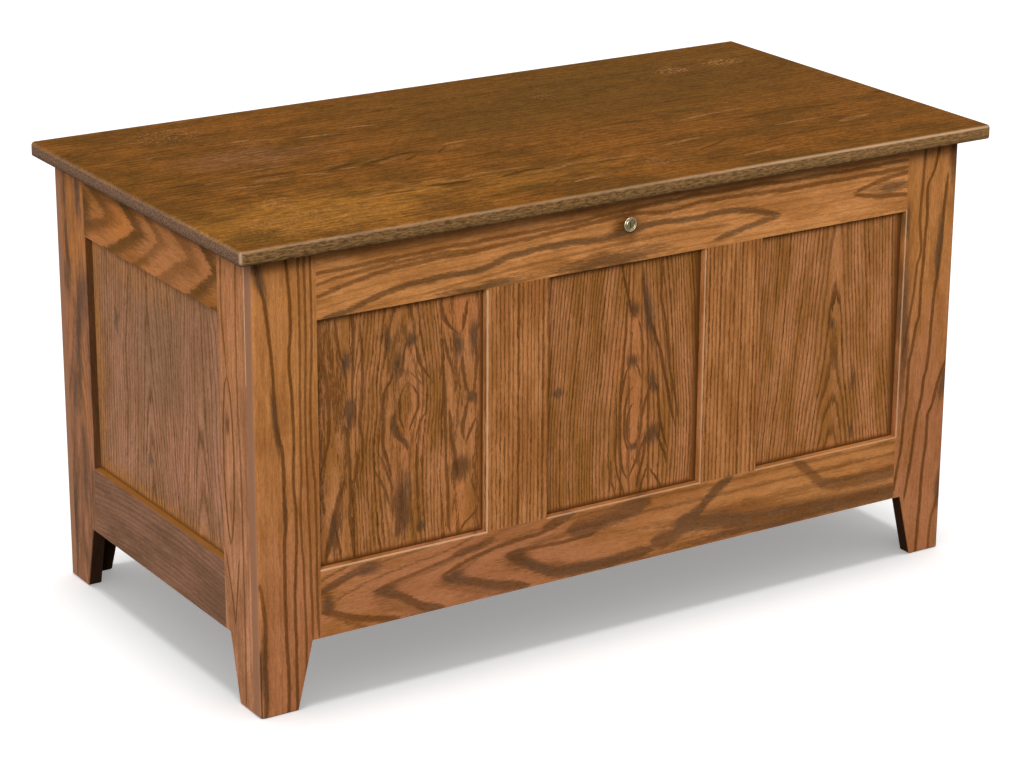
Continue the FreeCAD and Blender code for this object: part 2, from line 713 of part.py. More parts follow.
def make_pivot_master():
    """A rivet through the arm and the bracket's tab, its first head against the arm."""
    body = new_body("stay_pivot_master")
    grip = "(stay_arm_thickness + bracket_thickness + 3 * stay_face_gap)"
    near = "(-stay_face_gap - stay_pivot_head_height)"
    turn(body, [("0", near), ("stay_pivot_head_radius / 2", near),
                ("stay_pivot_head_radius", "-stay_face_gap - stay_pivot_head_height / 2"),
                ("stay_pivot_head_radius", "-stay_face_gap"), ("stay_pivot_radius", "-stay_face_gap"),
                ("stay_pivot_radius", f"{grip} - stay_face_gap"),
                ("stay_pivot_head_radius", f"{grip} - stay_face_gap"),
                ("stay_pivot_head_radius", f"{grip} - stay_face_gap + stay_pivot_head_height / 2"),
                ("stay_pivot_head_radius / 2", f"{grip} - stay_face_gap + stay_pivot_head_height"),
                ("0", f"{grip} - stay_face_gap + stay_pivot_head_height")])
    doc.recompute()
    return body


def make_stud_master():
    """A shouldered stud: wood thread, collar on the rail, shank through the slot, and a head."""
    body = new_body("stay_stud_master")
    collar = "(stay_side_gap - stay_face_gap)"
    head = "(stay_side_gap + stay_arm_thickness + stay_face_gap)"
    turn(body, [("0", "-stay_stud_thread_length"),
                ("stay_stud_thread_radius", "-stay_stud_thread_length + stay_stud_thread_radius"),
                ("stay_stud_thread_radius", "0"), ("stay_stud_collar_radius", "0"),
                ("stay_stud_collar_radius", collar), ("stay_stud_radius", collar),
                ("stay_stud_radius", head), ("stay_stud_head_radius", head),
                ("stay_stud_head_radius", f"{head} + stay_stud_head_height / 2"),
                ("stay_stud_head_radius - stay_stud_head_height / 2", f"{head} + stay_stud_head_height"),
                ("0", f"{head} + stay_stud_head_height")])
    slot = ("2 * stay_stud_head_radius", "driver_slot_width", "driver_slot_depth")
    block(body, ("-stay_stud_head_radius", "-driver_slot_width / 2",
                 f"{head} + stay_stud_head_height - driver_slot_depth"), slot, cut=True)
    doc.recompute()
    return body


pivot_master = make_pivot_master()
stud_master = make_stud_master()
pivots = []
studs = []
for side, sign in SIDES.items():
    make_stay_arm(side, sign)
    make_stay_bracket(side, sign)
    inwards = turned((0, 1, 0), -90 * sign)
    arm_face = f"{sign} * (body_width / 2 - board_thickness - stay_side_gap)"
    rail_face = f"{sign} * (body_width / 2 - board_thickness)"
    pivots += copies(pivot_master, [(arm_face, STAY_Y, "body_height - stay_pivot_drop")], inwards)
    studs += copies(stud_master, [(rail_face, "axis_y - stud_reach", "body_height - stay_stud_drop")],
                    inwards)
    # A pilot hole for the stud, in the rail's own frame: from its inner face outwards
    along = "axis_y - stud_reach - front_y - board_thickness - side_stile_width"
    if sign < 0:
        along = f"inner_depth - 2 * side_stile_width - ({along})"
    start = (along, "board_thickness - stay_stud_thread_length", "top_rail_width - stay_stud_drop")
    rod(top_rails[side], start, "stay_stud_thread_radius + screw_clearance", "stay_stud_thread_length",
        "y", cut=True)
feature_group("stay_pivots", pivots)
feature_group("stay_studs", studs)


# ---------------------------------------------------------------- lock

LOCK_Z = "(body_height - lock_drop)"


def make_lock_housing():
    """The barrel with its raised face ring; +Z of the body points out of the chest's front."""
    body = new_body("lock_housing")
    bore = "lock_plug_radius + lock_plug_clearance"
    turn(body, [(bore, "-lock_barrel_length"), ("lock_barrel_radius", "-lock_barrel_length"),
                ("lock_barrel_radius", "0"), ("lock_face_radius", "0"),
                ("lock_face_radius", "lock_face_height - lock_face_rim"),
                ("lock_face_radius - lock_face_rim", "lock_face_height"),
                ("lock_plug_radius + lock_face_dish", "lock_face_height"),
                (bore, "lock_face_height - lock_face_dish")])
    place(body, "0", "front_y", LOCK_Z, FACING_FRONT)
    return finish(body)


def make_lock_plug():
    """The keyed plug, with a square tail for the cam."""
    body = new_body("lock_plug")
    face = "(lock_face_height - lock_plug_recess)"
    turn(body, [("0", "-plug_shoulder"), ("lock_plug_radius", "-plug_shoulder"),
                ("lock_plug_radius", f"{face} - lock_plug_recess"),
                ("lock_plug_radius - lock_plug_recess", face), ("0", face)])
    block(body, ("-lock_tail_side / 2", "-lock_tail_side / 2", "-plug_shoulder - cam_thickness"),
          ("lock_tail_side", "lock_tail_side", "cam_thickness"))
    rod(body, ("0", "0", "-plug_shoulder - cam_thickness"), "cam_screw_radius + screw_clearance",
        "cam_screw_length", "z", cut=True)
    block(body, ("-keyway_width / 2", "-keyway_height / 2", f"{face} - keyway_depth"),
          ("keyway_width", "keyway_height", "keyway_depth"), cut=True)
    place(body, "0", "front_y", LOCK_Z, FACING_FRONT)
    return finish(body)


def solid(kind, sizes):
    item = doc.addObject("Part::" + kind, kind)
    for prop, text in sizes.items():
        bind(item, prop, text)
    return item


def sector(radius, angle, start_angle):
    """A slice of the cam's plate round the lock's axis."""
    item = solid("Cylinder", {"Radius": radius, "Height": "cam_thickness", "Angle": angle})
    bind(item, "Placement.Rotation.Angle", start_angle)
    return item


def joined(kind, base, tool):
    item = doc.addObject("Part::" + kind, kind)
    item.Base = base
    item.Tool = tool
    return item


def make_lock_cam():
    """The hook cam: at rest it points to the right, and a quarter turn brings its slot, which is
    an arc round the lock's axis, over the keeper's pin."""
    inner = "cam_slot_inner - cam_web_width"
    plate = joined("Cut", sector("cam_outer", "2 * cam_half_angle", "-cam_half_angle"),
                   solid("Cylinder", {"Radius": inner, "Height": "cam_thickness"}))
    arm = solid("Box", {"Length": "cam_slot_inner - cam_web_width / 2",
                        "Width": "1.4 * cam_hub_radius", "Height": "cam_thickness"})
    bind(arm, "Placement.Base.y", "-0.7 * cam_hub_radius")
    hub = solid("Cylinder", {"Radius": "cam_hub_radius", "Height": "cam_thickness"})
    blank = joined("Fuse", joined("Fuse", hub, arm), plate)
    slot = joined("Cut", sector("cam_slot_outer", "2 * cam_half_angle", "-cam_slot_back_angle"),
                  solid("Cylinder", {"Radius": "cam_slot_inner", "Height": "cam_thickness"}))
    square = solid("Box", {"Length": "lock_tail_side + 2 * lock_tail_clearance",
                           "Width": "lock_tail_side + 2 * lock_tail_clearance",
                           "Height": "cam_thickness"})
    for axis in "xy":
        bind(square, "Placement.Base." + axis, "-lock_tail_side / 2 - lock_tail_clearance")
    cam = joined("Cut", joined("Cut", blank, slot), square)
    cam.Label = "lock_cam"
    place(cam, "0", "front_y + plug_shoulder + cam_thickness", LOCK_Z, FACING_FRONT)
    return finish(cam)


def make_cam_screw():
    body = new_body("lock_cam_screw")
    back = "(-plug_shoulder - cam_thickness)"
    turn(body, [("0", f"{back} - cam_screw_head_height"),
                ("cam_screw_head_radius", f"{back} - cam_screw_head_height"),
                ("cam_screw_head_radius", back), ("cam_screw_radius", back),
                ("cam_screw_radius", f"{back} + cam_screw_length - lock_end_gap"),
                ("0", f"{back} + cam_screw_length - lock_end_gap")])
    slot = ("2 * cam_screw_head_radius", "driver_slot_width", "driver_slot_depth")
    block(body, ("-cam_screw_head_radius", "-driver_slot_width / 2", f"{back} - cam_screw_head_height"),
          slot, cut=True)
    place(body, "0", "front_y", LOCK_Z, FACING_FRONT)
    return finish(body)


def make_lock_nut():
    """The hexagon nut that clamps the housing against the rail's inner face."""
    hexagon = solid("Prism", {"Circumradius": "lock_nut_radius", "Height": "lock_nut_height"})
    hexagon.Polygon = 6
    bore = solid("Cylinder", {"Radius": "lock_barrel_radius + screw_clearance",
                              "Height": "lock_nut_height"})
    nut = joined("Cut", hexagon, bore)
    nut.Label = "lock_nut"
    place(nut, "0", "front_y + board_thickness + lock_nut_height", LOCK_Z, FACING_FRONT)
    return finish(nut)


def make_keeper():
    """An angle plate under the lid whose tab carries the pin that the cam hooks over."""
    body = new_body("lock_keeper")
    block(body, ("-keeper_plate_width / 2", "keeper_start", "-keeper_thickness"),
          ("keeper_plate_width", "keeper_plate_depth", "keeper_thickness"))
    tab_drop = "keeper_pin_drop + keeper_tab_margin"
    block(body, ("-keeper_tab_width / 2", "keeper_start", f"-({tab_drop})"),
          ("keeper_tab_width", "keeper_thickness", tab_drop))
    rod(body, ("0", "keeper_start", "-keeper_pin_drop"), "keeper_pin_radius + screw_clearance",
        "keeper_thickness", "y", cut=True)
    for end in (-1, 1):
        countersink(body, (f"{end} * keeper_screw_spacing / 2", "keeper_screw_y", "-keeper_thickness"),
                    "screw_head_radius + screw_clearance", "pilot_radius", "keeper_thickness")
    place(body, "0", "front_y", "body_height")
    return finish(body)


def make_keeper_pin():
    """The pin, riveted behind the keeper's tab and reaching forwards through the cam's plane."""
    body = new_body("lock_keeper_pin")
    length = "(keeper_thickness + keeper_gap + cam_thickness + keeper_pin_end)"
    turn(body, [("0", "-keeper_pin_head_height"), ("keeper_pin_head_radius", "-keeper_pin_head_height"),
                ("keeper_pin_head_radius", "0"), ("keeper_pin_radius", "0"),
                ("keeper_pin_radius", length), ("0", length)])
    place(body, "0", "front_y + keeper_start + keeper_thickness", "body_height - keeper_pin_drop",
          FACING_FRONT)
    return finish(body)


make_lock_housing()
make_lock_plug()
make_lock_cam()
make_cam_screw()
make_lock_nut()
make_keeper()
make_keeper_pin()

# The lock's hole, through the middle of the front top rail
rod(top_rails["front"],
    ("(body_width - 2 * front_stile_width) / 2", "0", "top_rail_width - lock_drop"),
    "lock_barrel_radius + lock_hole_clearance", "board_thickness", "y", cut=True)


# ---------------------------------------------------------------- checks and files

doc.recompute()
for item in doc.Objects:
    failed = [word for word in item.State if word in ("Invalid", "Error")]
    if failed:
        raise RuntimeError(f"{item.Label}: {failed}")
for node in nodes:
    if node.Shape.isNull() or not node.Shape.isValid() or not node.Shape.Solids:
        raise RuntimeError(f"{node.Label} has no valid shape")
    node.Shape.exportStep(os.path.join("parts", node.Label + ".step"))
print(len(nodes), "nodes")
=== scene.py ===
"""The looks of an oak blanket chest: its boards, lid, lock and fittings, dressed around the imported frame."""

import json
import math

import bmesh
import bpy
from mathutils import Matrix, Vector

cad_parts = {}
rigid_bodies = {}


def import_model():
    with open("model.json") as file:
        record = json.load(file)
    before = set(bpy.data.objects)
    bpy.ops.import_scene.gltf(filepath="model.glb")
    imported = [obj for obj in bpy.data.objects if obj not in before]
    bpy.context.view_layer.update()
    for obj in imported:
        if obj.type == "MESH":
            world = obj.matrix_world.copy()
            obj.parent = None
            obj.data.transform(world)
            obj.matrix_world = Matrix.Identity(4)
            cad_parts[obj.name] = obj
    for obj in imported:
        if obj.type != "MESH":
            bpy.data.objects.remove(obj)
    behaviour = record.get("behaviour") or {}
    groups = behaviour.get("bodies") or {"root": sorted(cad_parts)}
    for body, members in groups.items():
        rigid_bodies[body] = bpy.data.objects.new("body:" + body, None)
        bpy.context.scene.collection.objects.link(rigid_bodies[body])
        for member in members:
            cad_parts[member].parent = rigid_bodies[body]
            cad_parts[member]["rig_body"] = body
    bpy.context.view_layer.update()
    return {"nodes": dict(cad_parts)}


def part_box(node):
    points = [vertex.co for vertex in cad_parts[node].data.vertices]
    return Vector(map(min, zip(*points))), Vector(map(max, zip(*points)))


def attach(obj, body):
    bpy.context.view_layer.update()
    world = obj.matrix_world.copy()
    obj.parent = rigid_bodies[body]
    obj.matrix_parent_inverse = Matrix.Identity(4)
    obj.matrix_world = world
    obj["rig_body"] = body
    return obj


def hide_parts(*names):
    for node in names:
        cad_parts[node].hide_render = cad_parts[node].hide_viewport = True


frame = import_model()

MM = 0.001
PER_METRE = 1000.0


# ---------------------------------------------------------------- places, in millimetres

def box_of(node):
    """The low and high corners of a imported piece."""
    low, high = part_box(node)
    return low * PER_METRE, high * PER_METRE


LEFT_X, RIGHT_X = box_of("front_stile_left")[0].x, box_of("front_stile_right")[1].x
FRONT_Y, BACK_Y = box_of("front_top_rail")[0].y, box_of("back_top_rail")[1].y
FEET_HIGH = box_of("front_bottom_rail")[0].z
OPENING_LOW, OPENING_HIGH = box_of("front_bottom_rail")[1].z, box_of("front_top_rail")[0].z
LEFT_OPENING = (box_of("front_stile_left")[1].x, box_of("front_mullion_left")[0].x)
MIDDLE_OPENING = (box_of("front_mullion_left")[1].x, box_of("front_mullion_right")[0].x)
RIGHT_OPENING = (box_of("front_mullion_right")[1].x, box_of("front_stile_right")[0].x)
SIDE_OPENING = (box_of("left_stile_front")[1].y, box_of("left_stile_back")[0].y)
RECESS = box_of("front_panel_left")[0].y - FRONT_Y
LID_LOW, LID_HIGH = box_of("lid")
LID_THICKNESS = LID_HIGH.z - LID_LOW.z
LOCK_LOW, LOCK_HIGH = box_of("lock_plug")
FACES = {"front": ("y", FRONT_Y), "back": ("y", BACK_Y), "left": ("x", LEFT_X), "right": ("x", RIGHT_X),
         "lid": ("z", LID_HIGH.z), "floor": ("z", box_of("floor_panel")[0].z)}


# ---------------------------------------------------------------- colours

def shade(red, green, blue):
    """A colour in the eight-bit steps of a stain chart, as the linear values that a shader takes."""
    steps = [value / 255 for value in (red, green, blue)]
    linear = [s / 12.92 if s <= 0.04045 else ((s + 0.055) / 1.055) ** 2.4 for s in steps]
    return (*linear, 1.0)


# ---------------------------------------------------------------- shader wiring

class Signal:
    """A value that varies over a surface: the output of one node, with the arithmetic of a formula."""

    def __init__(self, tree, socket):
        self.tree = tree
        self.socket = socket

    def __add__(self, other):
        return calculate(self.tree, "ADD", self, other)

    def __radd__(self, other):
        return calculate(self.tree, "ADD", other, self)

    def __sub__(self, other):
        return calculate(self.tree, "SUBTRACT", self, other)

    def __rsub__(self, other):
        return calculate(self.tree, "SUBTRACT", other, self)

    def __mul__(self, other):
        return calculate(self.tree, "MULTIPLY", self, other)

    def __rmul__(self, other):
        return calculate(self.tree, "MULTIPLY", other, self)

    def __truediv__(self, other):
        return calculate(self.tree, "DIVIDE", self, other)

    def __rtruediv__(self, other):
        return calculate(self.tree, "DIVIDE", other, self)


def connect(tree, value, socket):
    """Wires a signal to a socket, or sets the socket to a plain number, vector or colour."""
    if isinstance(value, Signal):
        tree.links.new(value.socket, socket)
    else:
        socket.default_value = value


def calculate(tree, operation, *values):
    """One Math node over signals and numbers."""
    node = tree.nodes.new("ShaderNodeMath")
    node.operation = operation
    for socket, value in zip(node.inputs, values):
        connect(tree, value, socket)
    return Signal(tree, node.outputs[0])


def larger(one, other):
    return calculate(one.tree, "MAXIMUM", one, other)


def smaller(one, other):
    return calculate(one.tree, "MINIMUM", one, other)


def size_of(value):
    return calculate(value.tree, "ABSOLUTE", value)


def root(value):
    return calculate(value.tree, "SQRT", value)


def floor_of(value):
    return calculate(value.tree, "FLOOR", value)


def soft_step(value, low, high):
    """0 below low, 1 above high, and a smooth rise between them."""
    node = value.tree.nodes.new("ShaderNodeMapRange")
    node.interpolation_type = "SMOOTHSTEP"
    connect(value.tree, value, node.inputs["Value"])
    connect(value.tree, low, node.inputs["From Min"])
    connect(value.tree, high, node.inputs["From Max"])
    return Signal(value.tree, node.outputs["Result"])


def split(point):
    """The three parts of a point."""
    node = point.tree.nodes.new("ShaderNodeSeparateXYZ")
    connect(point.tree, point, node.inputs[0])
    return [Signal(point.tree, output) for output in node.outputs]


def join(tree, *parts):
    """A point from its three parts."""
    node = tree.nodes.new("ShaderNodeCombineXYZ")
    for part, socket in zip(parts, node.inputs):
        connect(tree, part, socket)
    return Signal(tree, node.outputs[0])


def shifted(point, size, seed):
    """The point with each axis measured in the size given for it, moved along by a seed."""
    node = point.tree.nodes.new("ShaderNodeVectorMath")
    node.operation = "MULTIPLY_ADD"
    connect(point.tree, point, node.inputs[0])
    node.inputs[1].default_value = [1 / part for part in size]
    connect(point.tree, seed if isinstance(seed, Signal) else (seed,) * 3, node.inputs[2])
    return Signal(point.tree, node.outputs[0])


def noise(point, size, seed, detail=2.0, roughness=0.5):
    """Smooth noise from 0 to 1 whose spots have the given size along the point's axes."""
    tree = point.tree
    node = tree.nodes.new("ShaderNodeTexNoise")
    connect(tree, shifted(point, size, seed), node.inputs["Vector"])
    node.inputs["Scale"].default_value = 1.0
    node.inputs["Detail"].default_value = detail
    node.inputs["Roughness"].default_value = roughness
    return Signal(tree, node.outputs["Fac"])


def lot(value):
    """A random number from 0 to 1 that is the same wherever the value is the same."""
    node = value.tree.nodes.new("ShaderNodeTexWhiteNoise")
    node.noise_dimensions = "1D"
    connect(value.tree, value, node.inputs["W"])
    return Signal(value.tree, node.outputs["Value"])


def mix(amount, one, other):
    """Two colours mixed by an amount."""
    tree = amount.tree
    node = tree.nodes.new("ShaderNodeMix")
    node.data_type = "RGBA"
    factor, first, second = (node.inputs[i] for i in (0, 6, 7))
    connect(tree, amount, factor)
    connect(tree, one, first)
    connect(tree, other, second)
    return Signal(tree, node.outputs[2])


def dimmed(colour, amount):
    """A colour with its brightness multiplied by an amount."""
    node = colour.tree.nodes.new("ShaderNodeVectorMath")
    node.operation = "SCALE"
    connect(colour.tree, colour, node.inputs[0])
    connect(colour.tree, amount, node.inputs["Scale"])
    return Signal(colour.tree, node.outputs[0])


def drawn(value, places):
    """A smooth curve through (place, height) pairs, read at a value."""
    tree = value.tree
    start, end = places[0][0], places[-1][0]
    heights = [height for _, height in places]
    low, high = min(heights), max(heights)
    if high == low:
        return low
    node = tree.nodes.new("ShaderNodeFloatCurve")
    curve = node.mapping.curves[0]
    for index, (place, height) in enumerate(places):
        spot = ((place - start) / (end - start), (height - low) / (high - low))
        if index == 0:
            point = curve.points[0]
        elif index == len(places) - 1:
            point = curve.points[len(curve.points) - 1]
        else:
            point = curve.points.new(*spot)
        point.location = spot
        point.handle_type = "AUTO_CLAMPED"
    node.mapping.update()
    connect(tree, (value - start) / (end - start), node.inputs["Value"])
    return Signal(tree, node.outputs["Value"]) * (high - low) + low


SOCKETS = {1: "NodeSocketFloat", 3: "NodeSocketVector", 4: "NodeSocketColor"}


def new_effect(name, inputs, outputs):
    """An empty shader group, its inputs as signals, and the node that its outputs go into."""
    group = bpy.data.node_groups.new(name, "ShaderNodeTree")
    for label, value in inputs.items():
        length = len(value) if isinstance(value, tuple) else 1
        socket = group.interface.new_socket(label, in_out="INPUT", socket_type=SOCKETS[length])
        socket.default_value = value
    for label, length in outputs.items():
        group.interface.new_socket(label, in_out="OUTPUT", socket_type=SOCKETS[length])
    entry = group.nodes.new("NodeGroupInput")
    given = {label: Signal(group, entry.outputs[label]) for label in inputs}
    return group, given, group.nodes.new("NodeGroupOutput")


def put_out(group, leaving, **values):
    for label, value in values.items():
        connect(group, value, leaving.inputs[label.replace("_", " ")])
    return group


def use_effect(tree, group, **values):
    """The group placed in a tree with these inputs: its outputs by name."""
    node = tree.nodes.new("ShaderNodeGroup")
    node.node_tree = group
    for label, value in values.items():
        connect(tree, value, node.inputs[label.replace("_", " ")])
    return {output.name: Signal(tree, output) for output in node.outputs}


# ---------------------------------------------------------------- effects that materials share

ORIGIN = (0.0, 0.0, 0.0)
GREY = (0.5, 0.5, 0.5, 1.0)


def growth_rings():
    """Counts the growth rings out from the heart of the tree that a board was sawn from.

    The point is in millimetres: x across the grain, y in from the face, z along the grain. The heart runs
    beside the board. The station is the count along the heart, which makes arches where it rises and an
    eye where it dips. A skew packs the rings closer on one side, and a swirl loosens them as in a veneer.
    """
    group, given, leaving = new_effect(
        "Growth rings",
        {"Point": ORIGIN, "Heart": 0.0, "Depth": 40.0, "Station": 0.0, "Skew": 0.0, "Ring": 7.0,
         "Waver": 4.0, "Swirl": 0.0, "Seed": 0.0, "Course": 0.0, "Reach": 60.0, "Eye": 0.0},
        {"Count": 1})
    point, seed, waver = given["Point"], given["Seed"], given["Waver"]
    x, y, _ = split(point)
    broad = noise(point, (75, 60, 330), seed, detail=1.0) - 0.5
    close = noise(point, (17, 17, 85), seed + 7.3, detail=1.0) - 0.5
    deep = noise(point, (90, 60, 260), seed + 3.1, detail=1.0) - 0.5
    straight = x - given["Heart"]
    away = (straight - given["Course"]) / given["Reach"]
    follow = 1.0 / (1.0 + away * away)
    aside = straight - given["Course"] * follow + (broad * 3.0 + close * 1.2) * waver
    below = given["Depth"] + y + deep * 3.0 * waver
    radius = root(aside * aside + below * below)
    weather = noise(join(group, radius, 0.0, 0.0), (26, 1, 1), seed + 1.7, detail=0.0) - 0.5
    loose = noise(point, (44, 44, 200), seed + 5.9, detail=1.5) - 0.5
    count = ((radius + weather * 8.0) / given["Ring"] + aside * given["Skew"] + given["Station"]
             + given["Eye"] * follow * follow + loose * given["Swirl"])
    return put_out(group, leaving, Count=count)


def grain():
    """The fine grain of oak: streaks, hairs and pores along it, and the broad tones across a board."""
    group, given, leaving = new_effect(
        "Grain", {"Point": ORIGIN, "Seed": 0.0},
        {"Streak": 1, "Hair": 1, "Speckle": 1, "Pore": 1, "Tone": 1, "Cloud": 1, "Wander": 1})
    point, seed = given["Point"], given["Seed"]
    streak = noise(point, (2.7, 2.7, 30), seed, detail=3.0, roughness=0.65)
    hair = noise(point, (1.3, 1.3, 9), seed + 4.4, detail=2.0, roughness=0.6)
    speckle = noise(point, (1.7, 1.7, 3.6), seed + 9.9, detail=2.0, roughness=0.7)
    vessel = noise(point, (0.6, 0.6, 7), seed + 8.8, detail=1.0)
    tone = noise(point, (26, 26, 110), seed + 2.9, detail=4.0, roughness=0.6)
    cloud = noise(point, (22, 22, 70), seed + 6.1, detail=2.0)
    wander = noise(point, (900, 900, 60), seed + 1.3, detail=1.0)
    return put_out(
        group, leaving, Streak=soft_step(streak, 0.28, 0.72), Hair=soft_step(hair, 0.28, 0.72),
        Speckle=soft_step(speckle, 0.25, 0.75), Pore=soft_step(vessel, 0.54, 0.66),
        Tone=soft_step(tone, 0.34, 0.66), Cloud=soft_step(cloud, 0.4, 0.62), Wander=wander - 0.5)


def dark_flame():
    """A darker flame in the grain: a patch with ragged ends, round a centre given across and along."""
    group, given, leaving = new_effect(
        "Dark flame",
        {"Aside": 0.0, "Up": 0.0, "Half width": 6.0, "Half length": 30.0, "Lean": 0.0, "Streak": 0.5,
         "Hair": 0.5, "Wander": 0.0, "Rag": 1.0},
        {"Mask": 1})
    aside = given["Aside"] - given["Lean"] * given["Up"] + given["Wander"] * given["Half width"] * 1.5
    across = aside / given["Half width"]
    along = given["Up"] / given["Half length"]
    reach = root(across * across + along * along)
    ragged = ((given["Streak"] - 0.5) * 0.7 + (given["Hair"] - 0.5) * 0.3) * given["Rag"]
    return put_out(group, leaving, Mask=1.0 - soft_step(reach + ragged, 0.3, 1.3))


def dark_line():
    """A dark line that runs along the grain from one place to another, with ragged ends.

    Fade is how many times wider it is below its course than above it; a negative one is wider above.
    """
    group, given, leaving = new_effect(
        "Dark line",
        {"Aside": 0.0, "Along": 0.0, "From": 0.0, "To": 1.0, "Width": 3.0, "Fade": 1.0, "Streak": 0.5,
         "Hair": 0.5, "Wander": 0.0, "Rag": 1.0},
        {"Mask": 1})
    ragged = ((given["Streak"] - 0.5) * 0.7 + (given["Hair"] - 0.5) * 0.4) * given["Rag"]
    place = given["Along"] + ragged * 24.0
    begun = soft_step(place, given["From"] - 6.0, given["From"] + 22.0)
    ended = soft_step(place, given["To"] - 22.0, given["To"] + 6.0)
    there = begun * (1.0 - ended)
    off = given["Aside"] + given["Wander"] * given["Rag"] * 4.0
    spread = size_of(given["Fade"])
    facing = calculate(group, "SIGN", given["Fade"])
    inside = calculate(group, "GREATER_THAN", off * facing * -1.0, 0.0)
    width = given["Width"] * (0.3 + there * 0.7) * (1.0 + inside * (spread - 1.0))
    reach = size_of(off) / width + ragged
    return put_out(group, leaving, Mask=(1.0 - soft_step(reach, 0.45, 1.2)) * soft_step(there, 0.0, 0.4))


def stained_oak():
    """Stained open-pored oak: dark early wood that starts sharply at each ring and fades, streaks, pores."""
    group, given, leaving = new_effect(
        "Stained oak",
        {"Count": 0.0, "Flame": 0.0, "Line": 0.0, "Ground": GREY, "Dark": GREY, "Smoke": GREY, "Band": 0.4,
         "Contrast": 0.8, "Jag": 0.5, "Grit": 1.0, "Seed": 0.0, "Streak": 0.5, "Hair": 0.5, "Speckle": 0.5,
         "Pore": 0.0, "Cloud": 0.5},
        {"Color": 4, "Roughness": 1, "Height": 1})
    streak, hair, pore, flame = given["Streak"], given["Hair"], given["Pore"], given["Flame"]
    phase = given["Count"] + (streak - 0.5) * given["Jag"] + (hair - 0.5) * given["Jag"] * 0.5
    ring = floor_of(phase)
    share = phase - ring
    weight = lot(ring + given["Seed"])
    width = lot(ring * 1.37 + given["Seed"] + 11.0)
    reach = given["Band"] * (0.6 + width * 0.8)
    early = 1.0 - soft_step(share, reach * 0.25, reach)
    late = soft_step(share, 0.93, 1.0) * 0.7
    band = smaller(larger(early, late) * (0.5 + weight * 0.5) * given["Contrast"], 1.0)
    broken = (0.74 + streak * 0.26) * (0.82 + hair * 0.18)
    grown = larger(band, larger(flame, given["Line"])) * broken

    wood = mix(larger(band, given["Line"]) * broken, given["Ground"], given["Dark"])
    wood = mix(flame * broken, wood, mix(given["Cloud"] * 0.6, given["Smoke"], given["Dark"]))
    dots = pore * (0.35 + grown * 0.65)
    uneven = (streak - 0.5) * 0.2 + (hair - 0.5) * 0.2 + (given["Speckle"] - 0.5) * 0.18
    fine = 1.0 + uneven * given["Grit"]
    colour = dimmed(wood, fine * (1.0 - dots * 0.35))
    rough = 0.58 + grown * 0.12 + dots * 0.15
    height = 1.0 - dots * 0.7 - grown * 0.25 + hair * 0.15
    return put_out(group, leaving, Color=colour, Roughness=rough, Height=height)


def arris_wear_and_highlight():
    """Where one long arris is worn pale, with a painted highlight: 1 on the arris, 0 past the reach, in
    patches.
    """
    group, given, leaving = new_effect(
        "Worn arris with painted highlight",
        {"Point": ORIGIN, "Aside": 0.0, "Inward": 0.0, "From": 0.0, "To": 1.0, "Reach": 2.0, "Seed": 0.0},
        {"Mask": 1})
    aside, inward = given["Aside"], given["Inward"]
    along = split(given["Point"])[2]
    outside = larger(larger(given["From"] - along, along - given["To"]), 0.0)
    gap = root(aside * aside + inward * inward + outside * outside)
    patchy = noise(given["Point"], (16, 16, 16), given["Seed"], detail=3.0)
    rubbed = given["Reach"] * (0.45 + patchy)
    return put_out(group, leaving, Mask=1.0 - soft_step(gap, rubbed * 0.45, rubbed))


def corner_shade():
    """Painted shade in a panel's corners: 1 against the frame, 0 past the reach of each side."""
    group, given, leaving = new_effect(
        "Painted shade in the corners",
        {"Point": ORIGIN, "Low": ORIGIN, "High": ORIGIN, "Low reach": (4.0, 4.0, 4.0),
         "High reach": (4.0, 4.0, 4.0)},
        {"Mask": 1})
    mask = 0.0
    for index in (0, 2):
        here, low, high, low_reach, high_reach = (
            split(given[label])[index] for label in ("Point", "Low", "High", "Low reach", "High reach"))
        mask = larger(1.0 - soft_step(here - low, 0.0, low_reach), mask)
        mask = larger(1.0 - soft_step(high - here, 0.0, high_reach), mask)
    return put_out(group, leaving, Mask=mask)


RINGS = growth_rings()
GRAIN = grain()
FLAME = dark_flame()
LINE = dark_line()
OAK = stained_oak()
ARRIS_WEAR_AND_HIGHLIGHT = arris_wear_and_highlight()
CORNER_SHADE = corner_shade()


# ---------------------------------------------------------------- oak finishes

def tints(**colours):
    """The colours of one stain by name."""
    return {name: shade(*colour) for name, colour in colours.items()}
